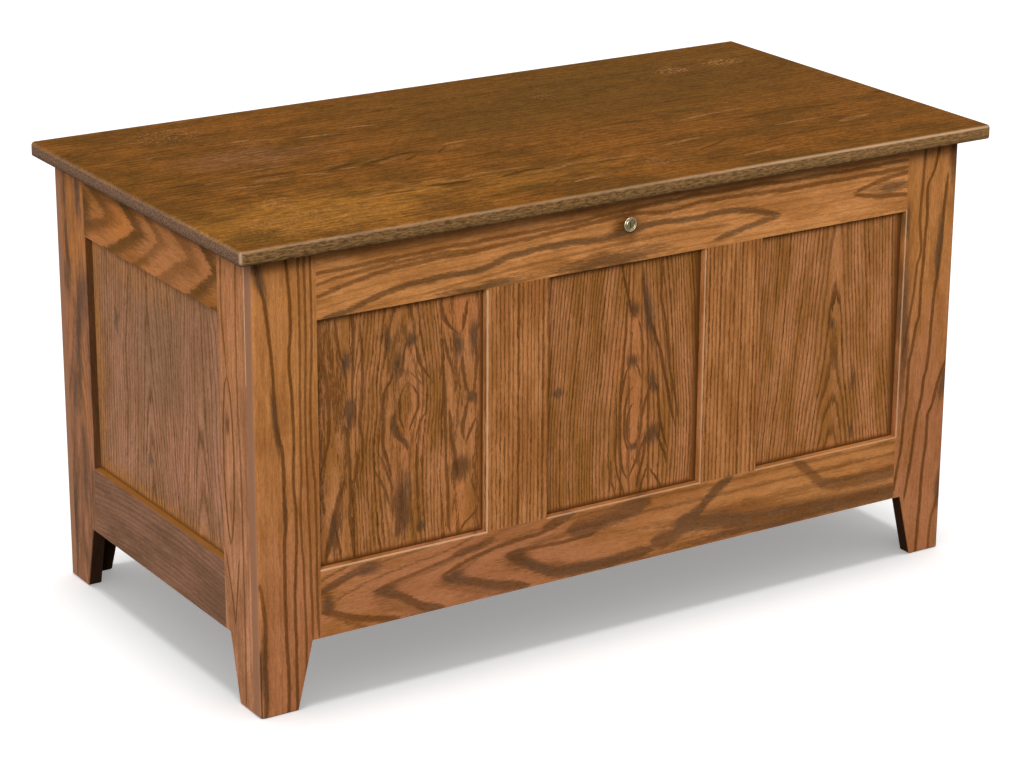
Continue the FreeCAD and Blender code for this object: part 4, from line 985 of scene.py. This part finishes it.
               (2.3, 0.95, [(236, 12), (251, 7), (271, 4), (291, 4), (306, 6), (318, 10), (326, 17)]),
               (2.3, 0.95, [(314, 31), (319, 27), (326, 19)]),
               (2.5, 1.0, [(245, 16), (258, 9), (276, 8), (291, 10), (301, 15), (306, 22)]),
               (2.5, 0.9, [(245, 18), (252, 25), (266, 30), (281, 31), (301, 35), (315, 40), (328, 47)]),
               (2.9, 1.0, [(233, 71), (253, 65), (273, 60), (291, 57), (316, 54), (331, 48)]),
               (2.9, 1.0, [(183, 25), (198, 27), (216, 32), (233, 35), (251, 38), (261, 44)]),
               (3.0, 1.0, [(209, 72), (223, 69), (238, 62), (251, 57), (263, 49)]),
               (2.9, 1.0, [(173, 30), (191, 33), (203, 37), (214, 42)]),
               (3.0, 1.0, [(173, 65), (183, 62), (193, 57), (203, 50), (214, 43)]),
               (2.3, 0.9, [(177, 7), (188, 4), (203, -2), (221, -7), (241, -9), (266, -8), (315, -9)]),
               (2.2, 0.8, [(175, -6), (191, -10), (203, -14), (235, -16)])],
        flames=[(17.0, 429.0, 9.4, 12.6, -0.3), (41.0, 415.0, 8.8, 52.9, -0.2),
                (46.0, 326.0, 8.8, 17.2, -0.1), (46.0, 257.0, 13.8, 17.2, 0.0),
                (16.0, 361.0, 10.0, 10.3, 0.0), (17.0, 244.0, 7.5, 5.8, 0.0),
                (-98.0, 338.0, 8.8, 6.9, 0.0)],
        zones=[(23.0, 315.0, 46.0, 190.0, "gold", 0.6)]),
    "panel_right": dict(
        along="z", band=0.5, contrast=1.1, jag=0.24, seed=43.0, stain="panel",
        corners=panel_corners(RIGHT_OPENING, (3.0, 9.0), (17.0, 12.0)),
        figure=growth(338.0, depth=8.0, ring=5.2, waver=1.4, swirl=2.0,
                      station=[(170, -0.4), (239, 1.0), (286, 2.0), (366, 3.0), (453, 4.0), (500, 4.4)]),
        flames=[(337.0, 355.0, 5.0, 12.0, 0.0), (373.0, 271.0, 5.0, 16.0, 0.0),
                (375.0, 200.0, 4.0, 16.0, 0.0)]),
}
SIDE_BOARDS = {
    "stile_front": dict(
        along="z", band=0.36, contrast=0.4, jag=0.3, rag=0.5, grit=1.3, seed=51.0, stain="side gold",
        figure=growth(-330.0, depth=40.0, ring=9.0, waver=1.6),
        lines=[(2.6, 1.0, [(204, -196), (240, -204), (315, -209), (390, -205), (425, -196)]),
               (2.6, 1.0, [(204, -196), (240, -188), (315, -183), (390, -187), (425, -196)]),
               (2.4, 0.95, [(100, -203), (130, -198), (165, -190), (195, -183)]),
               (2.4, 0.95, [(100, -203), (130, -207), (165, -213), (195, -217)]),
               (2.6, 0.8, [(0, -226), (120, -228), (300, -227), (440, -222), (586, -226)]),
               (2.4, 0.9, [(425, -196), (470, -190), (520, -186), (586, -188)])],
        rubbed=[(-246.0, 1.8, 0.8, 425.0, 590.0)],
        zones=[(-205.0, 520.0, 60.0, 190.0, "amber", 0.7)],
        flames=[(-195.0, 360.0, 6.0, 18.0, 0.0)]),
    "stile_back": dict(
        along="z", band=0.4, contrast=0.7, jag=0.3, seed=57.0, stain="side blotchy",
        figure=growth(236.0, depth=16.0, ring=10.0, waver=4.0, swirl=3.0,
                      station=[(0, 0.0), (200, 1.5), (420, 4.0), (586, 4.6)]),
        flames=[(222.0, 350.0, 10.0, 90.0, -0.05), (248.0, 470.0, 8.0, 40.0, 0.1),
                (256.0, 90.0, 8.0, 80.0, 0.0), (212.0, 545.0, 9.0, 40.0, 0.0),
                (252.0, 545.0, 4.0, 40.0, 0.0)],
        zones=[(236.0, 520.0, 70.0, 130.0, "amber", 0.8), (214.0, 300.0, 16.0, 90.0, "amber", 0.4)],
        # Painted shade on the back stile's wall in the recess.
        walls=[(SIDE_OPENING[1], shade(60, 36, 12), 0.9, OPENING_LOW, OPENING_HIGH)]),
    "top_rail": dict(
        along="y", band=0.62, contrast=1.15, jag=0.16, rag=0.7, seed=61.0, stain="side amber", lid_shade=True,
        figure=growth(543.0, depth=3.0, ring=38.0, waver=2.4, swirl=0.3,
                      station=[(-265, 5.3), (-173, 4.0), (-109, 3.0), (-31, 2.0), (36, 1.0), (121, 0.0),
                               (281, -1.6)]),
        lines=[(2.6, 0.8, [(-196, 500), (-180, 499), (-154, 497)], 2.0)],
        flames=[(541.0, 198.0, 34.0, 30.0, 0.0)],
        zones=[(541.0, 84.0, 26.0, 46.0, "gold", 0.9), (530.0, -60.0, 40.0, 150.0, "rose", 0.6)]),
    "bottom_rail": dict(
        along="y", band=0.5, contrast=0.6, jag=0.25, seed=66.0, stain="side grey",
        figure=growth(330.0, course=[(-200, 0), (0, 8), (200, -6)], reach=2000.0, depth=40.0, ring=6.5,
                      waver=3.0),
        walls=[(OPENING_LOW, shade(146, 92, 30), 0.85, *SIDE_OPENING)]),
    "panel": dict(
        along="z", band=0.5, contrast=1.0, jag=0.3, grit=1.5, seed=71.0, stain="side panel",
        corners=panel_corners(SIDE_OPENING, (2.0, 8.0), (2.0, 8.0)),
        # The first two zones are painted warm bounce light along the panel's back and bottom edges.
        zones=[(184.0, 337.0, 16.0, 230.0, "gold", 0.75), (10.0, 186.0, 230.0, 16.0, "gold", 0.7),
               (10.0, 390.0, 90.0, 110.0, "smoke", 0.45), (60.0, 480.0, 170.0, 40.0, "gold", 0.4),
               (-60.0, 260.0, 120.0, 90.0, "rose", 0.6)],
        figure=[(-50.0, growth(-106.0, depth=8.0, ring=6.5, waver=2.2, swirl=3.0,
                               station=[(170, 1.6), (260, 2.4), (359, 3.4), (500, 4.4)])),
                (None, growth(37.0, depth=8.0, ring=6.5, waver=2.2, swirl=3.0,
                              station=[(162, 1.6), (252, 2.4), (358, 3.4), (500, 4.6)]))],
        flames=[(130.0, 401.0, 9.0, 18.0, 0.0), (40.0, 238.0, 7.0, 10.0, 0.0)]),
}


OTHER_SIDE_SEED = {"back": 101.0, "right": 103.0}


def dress_frame(side, boards):
    """All boards of one side of the body. The back and the right side have the same boards as the front and
    the left, with other seeds and nothing drawn on them."""
    across_face = "x" if side in ("front", "back") else "y"
    for part, spec in boards.items():
        spec = dict(spec)
        along = spec.pop("along")
        across = across_face if along == "z" else "z"
        stain = STAIN[spec.pop("stain", "front")]
        if side in OTHER_SIDE_SEED:
            spec["seed"] = spec["seed"] + OTHER_SIDE_SEED[side]
            spec["lines"] = spec["flames"] = spec["zones"] = ()
        # The stiles get painted shade on the inward faces of their feet.
        material = oak_material(f"oak {side} {part}".replace("_", " "), across, along, FACES[side], stain,
                                foot=part.startswith("stile"), **spec)
        dress_board(f"{side}_{part}", material)


dress_frame("front", FRONT_BOARDS)
dress_frame("back", FRONT_BOARDS)
dress_frame("left", SIDE_BOARDS)
dress_frame("right", SIDE_BOARDS)

# Drawn on the lid: (width, strength, (along, across) places, fade) for a line, and (across, along, half
# width, half length, strength) for a patch of flecks.
LID_DARK = [
    (4.8, 0.84, [(-405, -23), (-370, -21), (-338, -22)]),
    (4.1, 1.0, [(-305, -42), (-292, -35), (-277, -30), (-260, -25), (-242, -20)]),
    (4.1, 1.0, [(-255, -40), (-235, -34), (-217, -29), (-190, -19), (-165, -14)]),
    (4.8, 0.96, [(-255, -40), (-242, -45), (-225, -57)]),
    (4.8, 1.0, [(-195, -47), (-182, -40), (-167, -30)]),
    (4.3, 0.96, [(-140, -37), (-127, -25), (-115, -15)]),
    (4.8, 0.84, [(-88, -10), (-75, -30), (-66, -46)]),
    (5.0, 0.72, [(-510, -10), (-480, -9), (-455, -12)]), (4.8, 0.72, [(-510, -50), (-468, -49)]),
    (4.3, 1.0, [(-236, -162), (-213, -166), (-197, -168), (-170, -171)], 2.0),
    (3.6, 0.84, [(-296, -167), (-270, -171), (-249, -173)]),
    (4.9, 0.96, [(-136, -178), (-107, -170), (-81, -166), (-57, -171)]),
    (4.9, 0.84, [(-26, -151), (8, -149), (32, -154)]), (4.8, 0.72, [(5, -181), (38, -182)]),
    (4.8, 0.84, [(-96, -237), (-76, -222)]), (4.1, 0.72, [(-58, -220), (-15, -217)]),
    (3.6, 0.72, [(150, -200), (190, -184), (220, -168)]),
    (4.8, 0.6, [(60, -40), (120, -32), (180, -38)]), (4.8, 0.6, [(280, -96), (360, -90), (460, -98)]),
    (4.3, 0.6, [(250, -205), (330, -196), (420, -204)]),
]
LID_PALE = [
    (3.6, 0.96, [(-472, -44), (-450, -47), (-435, -53), (-415, -57), (-398, -58)]),
    (8.0, 0.6, [(-408, -38), (-382, -39), (-358, -42)]),
    (4.1, 0.84, [(-342, -38), (-315, -47), (-300, -55)]),
    (4.1, 0.72, [(-304, -26), (-282, -20), (-265, -19)]), (4.1, 0.96, [(-287, -41), (-260, -41)]),
    (4.1, 0.84, [(-239, -25), (-218, -21)]), (5.0, 0.72, [(-232, -42), (-205, -35), (-188, -30)]),
    (5.0, 1.0, [(-117, -21), (-90, -20)]), (4.1, 0.72, [(-118, -8), (-100, -3), (-72, 0)]),
    (4.1, 0.6, [(-409, 4), (-380, 11), (-325, 12)]), (4.1, 0.6, [(-467, -20), (-435, -15)]),
    (3.6, 0.6, [(-390, -6), (-345, -4)]), (3.6, 0.84, [(-241, -154), (-223, -148), (-200, -146)]),
    (4.1, 0.96, [(-222, -154), (-202, -157), (-176, -160)]),
    (3.6, 0.72, [(-323, -173), (-305, -165), (-286, -161)]), (4.9, 0.72, [(-275, -160), (-247, -162)]),
    (3.6, 0.72, [(-249, -170), (-216, -177)]),
    (3.8, 0.72, [(-178, -157), (-160, -150), (-123, -149), (-74, -152)]),
    (4.1, 0.72, [(-83, -179), (-44, -177), (-28, -169), (22, -170), (61, -173), (84, -166)]),
    (4.8, 1.0, [(-67, -241), (-44, -237), (-5, -234)]), (4.8, 0.48, [(-294, -246), (-242, -243)]),
    (4.8, 0.72, [(120, -157), (160, -150), (195, -145)]),
    (4.1, 0.6, [(216, -64), (275, -52), (335, -49)]), (4.1, 0.6, [(312, -145), (400, -142)]),
    (7.0, 0.72, [(395, -176), (425, -170), (458, -164)]),
    (4.8, 0.72, [(185, -250), (225, -243), (259, -241)]),
    (4.8, 0.72, [(-345, 146), (-315, 142), (-283, 134)]), (4.3, 0.84, [(-258, 120), (-195, 114)]),
    (4.8, 0.72, [(-188, 137), (-137, 128)]), (4.1, 0.48, [(90, -218), (124, -222)]),
    (4.8, 0.48, [(-470, 128), (-440, 132)]),
]
LID_FLECKS = [
    (177.0, 374.0, 24.0, 30.0, 0.8), (182.0, 466.0, 20.0, 34.0, 1.0), (142.0, 140.0, 14.0, 24.0, 0.5),
    (-140.0, -424.0, 32.0, 26.0, 0.6), (-204.0, -478.0, 16.0, 20.0, 0.7),
    (-196.0, -420.0, 10.0, 30.0, 0.6), (215.0, -400.0, 40.0, 60.0, 0.4), (-215.0, 80.0, 20.0, 30.0, 0.5),
    (-230.0, -420.0, 50.0, 120.0, 0.3),
]
lid_oak = oak_material(
    "oak lid", "y", "x", FACES["lid"], STAIN["lid"],
    growth(-640.0, depth=90.0, ring=11.0, waver=7.0, swirl=1.0), lines=LID_DARK, rag=0.5,
    pale_lines=LID_PALE, flecks=LID_FLECKS, band=0.6, contrast=0.6, jag=0.6, seed=81.0, sheen=0.008,
    coarse=(2.6, 1.1), grit=1.8,
    zones=[(-200.0, -420.0, 110.0, 250.0, "gold", 0.9), (150.0, 260.0, 200.0, 430.0, "olive", 0.8),
           (60.0, -30.0, 70.0, 90.0, "olive", 0.6), (-190.0, -100.0, 60.0, 160.0, "gold", 0.5),
           (70.0, -350.0, 60.0, 110.0, "rose", 0.6), (-150.0, -322.0, 12.0, 36.0, "olive", 0.9),
           (-176.0, -202.0, 11.0, 22.0, "olive", 1.0), (-22.0, 254.0, 12.0, 32.0, "olive", 1.0),
           (-234.0, -124.0, 16.0, 44.0, "olive", 1.0), (-250.0, -516.0, 36.0, 44.0, "olive", 0.9)],
    rim=True)
lid_board = dress_board("lid", lid_oak, width=LID_ARRIS)

PLAIN_BOARDS = {"floor_panel": "x", "floor_cleat_front": "x", "floor_cleat_back": "x",
                "lid_batten_left": "y", "lid_batten_right": "y", "floor_cleat_left": "y",
                "floor_cleat_right": "y"}
for node, along in PLAIN_BOARDS.items():
    across = "y" if along == "x" else "x"
    material = oak_material(
        "oak " + node.replace("_", " "), across, along, FACES["floor"], STAIN["plain"],
        growth(-500.0, depth=60.0, ring=9.0, waver=5.0), band=0.6, contrast=0.8, grit=1.4, seed=91.0)
    dress_board(node, material)


# ---------------------------------------------------------------- metals

METAL_BUMP = 0.02 * MM


def metal_material(name, bright, dull, roughness):
    """Lacquered or plated metal with a cloudy tarnish."""
    material, tree, shader = new_material(name)
    here = object_point(tree)
    cloudy = noise(here, (12, 12, 12), 0.0, detail=2.0)
    brushed = noise(here, (6.0, 0.25, 0.25), 3.0, detail=2.0)
    tarnish = soft_step(cloudy, 0.35, 0.75)
    connect(tree, mix(tarnish, bright, dull), shader.inputs["Base Color"])
    connect(tree, roughness + tarnish * 0.15 + brushed * 0.1, shader.inputs["Roughness"])
    bump(tree, brushed, shader, METAL_BUMP)
    shader.inputs["Metallic"].default_value = 1.0
    return material


LOCK_AXIS = Vector((LOCK_LOW.x + LOCK_HIGH.x, 2.0 * FRONT_Y, LOCK_LOW.z + LOCK_HIGH.z)) / 2.0
LOCK_GROOVES = ((7.2, 0.25, 0.6), (5.7, 0.1, 0.4), (9.5, 0.05, 0.35))
PLUG_EDGE = (4.6, 5.2)
LOCK_BUMP = 0.03 * MM


def lock_material():
    """Aged brass with tarnish in the grooves round the lock's face."""
    material, tree, shader = new_material("antique brass lock")
    here = object_point(tree)
    x, y, z = split(here)
    up = z - LOCK_AXIS.z
    radius = root(x * x + up * up)
    cloudy = noise(here, (4, 4, 4), 0.0, detail=3.0)
    tarnish = soft_step(cloudy, 0.4, 0.65) * 0.6
    for place, clean, dirty in LOCK_GROOVES:
        tarnish = larger(1.0 - soft_step(size_of(radius - place), clean, dirty), tarnish)
    plug = 1.0 - soft_step(radius, *PLUG_EDGE)
    colour = mix(plug, shade(222, 206, 172), shade(168, 154, 108))
    outside = 1.0 - soft_step(y - FRONT_Y, -0.5, 1.0)
    colour = mix(tarnish * outside, colour, shade(104, 88, 56))
    connect(tree, colour, shader.inputs["Base Color"])
    connect(tree, 0.4 + tarnish * 0.3, shader.inputs["Roughness"])
    bump(tree, cloudy, shader, LOCK_BUMP)
    shader.inputs["Metallic"].default_value = 1.0
    return material


METALS = {
    "lock_brass": lock_material(),
    "hinge_brass": metal_material("brass hinge", shade(196, 160, 92), shade(170, 134, 72), 0.38),
    "hardware_steel": metal_material("zinc plated steel", shade(190, 190, 186), shade(164, 164, 161), 0.4),
    "fastener_steel": metal_material("screw steel", shade(176, 174, 168), shade(146, 144, 138), 0.4),
}
LOCK_BORE = 5.8
LOCK_BARREL = (7.9, -28.0)
LOCK_BASE = (9.5, 1.7)
LOCK_OUTER_BEAD = (8.35, 1.7, 1.05, 1.3)
LOCK_INNER_BEAD = (6.45, 1.7, 0.55, 0.95)
LOCK_NOTCH = math.radians(30.0)
LOCK_EDGE = 0.3
BEAD_STEPS = 10
SPIN_STEPS = 96


def spin_about_lock(mesh, profile, turn=math.tau):
    """Turns a closed profile of (radius, height above the rail) in millimetres about the lock's axis. Less
    than a whole turn leaves a gap in the middle of its top, with closed ends."""
    start = (math.tau - turn) / 2
    outward = Vector((math.sin(start), 0.0, math.cos(start)))
    verts = [mesh.verts.new((LOCK_AXIS + outward * radius + Vector((0.0, -height, 0.0))) * MM)
             for radius, height in profile]
    edges = [mesh.edges.new((one, other)) for one, other in zip(verts, verts[1:] + verts[:1])]
    whole = turn == math.tau
    spun = bmesh.ops.spin(mesh, geom=verts + edges, cent=LOCK_AXIS * MM, axis=(0.0, 1.0, 0.0),
                          dvec=(0, 0, 0), angle=turn, steps=SPIN_STEPS, use_merge=whole, use_duplicate=False)
    if not whole:
        last = [part for part in spun["geom_last"] if isinstance(part, bmesh.types.BMEdge)]
        bmesh.ops.contextual_create(mesh, geom=edges)
        bmesh.ops.contextual_create(mesh, geom=last)


def bead(radius, foot, half_width, height):
    """The profile of a raised round bead, from its inner foot over its top to its outer foot."""
    turns = [math.pi * step / BEAD_STEPS for step in range(BEAD_STEPS + 1)]
    arc = [(radius - half_width * math.cos(turn), foot + height * math.sin(turn)) for turn in turns]
    return [(arc[0][0], foot - LOCK_EDGE), *arc, (arc[-1][0], foot - LOCK_EDGE)]


def make_lock_face():
    """The lock's barrel and round face, with an outer bead notched at the top and an inner bead."""
    mesh = bmesh.new()
    base_radius, base_height = LOCK_BASE
    spin_about_lock(mesh, [(LOCK_BORE, LOCK_BARREL[1]), LOCK_BARREL, (LOCK_BARREL[0], 0.0),
                           (base_radius, 0.0), (base_radius, base_height - LOCK_EDGE),
                           (base_radius - LOCK_EDGE, base_height), (LOCK_BORE, base_height)])
    spin_about_lock(mesh, bead(*LOCK_OUTER_BEAD), math.tau - LOCK_NOTCH)
    spin_about_lock(mesh, bead(*LOCK_INNER_BEAD))
    bmesh.ops.recalc_face_normals(mesh, faces=mesh.faces)
    new_piece("lock_face", mesh, body_of_node("lock_housing"), "lock_brass", METALS["lock_brass"],
              "lock_housing")


make_lock_face()
for name, node in frame["nodes"].items():
    slot = slot_of_node(name)
    if slot in METALS:
        node.data.materials.clear()
        node.data.materials.append(METALS[slot])


# ---------------------------------------------------------------- stage

CAMERA_PLACE = (-2.1132, -3.3097, 1.62657)
CAMERA_AZIMUTH = math.radians(32.52)
CAMERA_DROP = math.radians(19.23)
CAMERA_ROLL = 0.0054
CAMERA_LENS = 108.94
SENSOR = 36.0


def place_camera():
    """A camera from the chest's front left, a little above its lid."""
    ahead = Vector((math.sin(CAMERA_AZIMUTH) * math.cos(CAMERA_DROP),
                    math.cos(CAMERA_AZIMUTH) * math.cos(CAMERA_DROP), -math.sin(CAMERA_DROP)))
    level = Vector((math.cos(CAMERA_AZIMUTH), -math.sin(CAMERA_AZIMUTH), 0.0))
    upward = level.cross(ahead)
    cos_roll, sin_roll = math.cos(CAMERA_ROLL), math.sin(CAMERA_ROLL)
    right = level * cos_roll + upward * sin_roll
    top = upward * cos_roll - level * sin_roll
    data = bpy.data.cameras.new("camera")
    data.lens = CAMERA_LENS
    data.sensor_width = SENSOR
    camera = bpy.data.objects.new("camera", data)
    turn = Matrix((right, top, -ahead)).transposed().to_4x4()
    camera.matrix_world = Matrix.Translation(CAMERA_PLACE) @ turn
    bpy.context.scene.collection.objects.link(camera)
    bpy.context.scene.camera = camera


FLOOR_HALF = 40.0
FLOOR_WHITE = 0.9
FLOOR_BOUNCE = 0.3
FLOOR_GLOW = 0.285


def lay_floor():
    """A wide pale floor that shows white to the camera and keeps the chest's shadow."""
    mesh = bmesh.new()
    bmesh.ops.create_grid(mesh, x_segments=1, y_segments=1, size=FLOOR_HALF)
    data = bpy.data.meshes.new("floor")
    mesh.to_mesh(data)
    mesh.free()
    floor = bpy.data.objects.new("floor", data)
    bpy.context.scene.collection.objects.link(floor)
    material, tree, shader = new_material("pale floor")
    here = object_point(tree)
    speckle = noise(here, (60, 60, 60), 0.0)
    path = tree.nodes.new("ShaderNodeLightPath")
    camera_ray = Signal(tree, path.outputs["Is Camera Ray"])
    level = FLOOR_BOUNCE + camera_ray * (FLOOR_WHITE - FLOOR_BOUNCE) + speckle * 0.01
    connect(tree, dimmed(join(tree, 1.0, 1.0, 1.0), level), shader.inputs["Base Color"])
    shader.inputs["Roughness"].default_value = 1.0
    shader.inputs["Specular IOR Level"].default_value = 0.0
    seen = camera_ray * FLOOR_GLOW
    shader.inputs["Emission Color"].default_value = (1.0, 1.0, 1.0, 1.0)
    connect(tree, seen, shader.inputs["Emission Strength"])
    data.materials.append(material)
    return floor


WORLD_LEVEL = 0.45


def light_world():
    """Even light from all round, and a white background."""
    world = bpy.data.worlds.new("studio")
    bpy.context.scene.world = world
    world.use_nodes = True
    tree = world.node_tree
    background = tree.nodes["Background"]
    background.inputs["Color"].default_value = (1.0, 1.0, 1.0, 1.0)
    path = tree.nodes.new("ShaderNodeLightPath")
    seen = Signal(tree, path.outputs["Is Camera Ray"])
    for label in ("Is Glossy Ray", "Is Transmission Ray"):
        seen = larger(seen, Signal(tree, path.outputs[label]))
    connect(tree, WORLD_LEVEL + seen * (1.0 - WORLD_LEVEL), background.inputs["Strength"])


def left_out(name, pieces):
    """A collection that leaves these pieces out of a lamp's light or shadow."""
    collection = bpy.data.collections.new(name)
    for piece in pieces:
        collection.objects.link(piece)
    for entry in collection.collection_objects:
        entry.light_linking.link_state = "EXCLUDE"
    return collection


def add_softbox(name, level, azimuth, height, spread, passed_over=(), seen_through=()):
    """A broad lamp far off: its share of the plain light level, where it stands, how wide it looks, what
    it leaves unlit, and what casts no shadow in it."""
    data = bpy.data.lights.new(name, "SUN")
    data.energy = level * math.pi
    data.angle = math.radians(spread)
    lamp = bpy.data.objects.new(name, data)
    azimuth, height = math.radians(azimuth), math.radians(height)
    toward = Vector((math.sin(azimuth) * math.cos(height), -math.cos(azimuth) * math.cos(height),
                     math.sin(height)))
    lamp.rotation_euler = toward.to_track_quat("Z", "Y").to_euler()
    bpy.context.scene.collection.objects.link(lamp)
    if passed_over:
        lamp.light_linking.receiver_collection = left_out(name + " leaves unlit", passed_over)
    if seen_through:
        lamp.light_linking.blocker_collection = left_out(name + " sees through", seen_through)


bpy.context.scene.view_settings.view_transform = "Standard"
place_camera()
floor = lay_floor()
light_world()
add_softbox("softbox overhead", level=0.55, azimuth=0.0, height=90.0, spread=18.0,
            seen_through=[lid_board])
add_softbox("softbox front left", level=0.8, azimuth=-42.0, height=30.0, spread=30.0, passed_over=[floor])
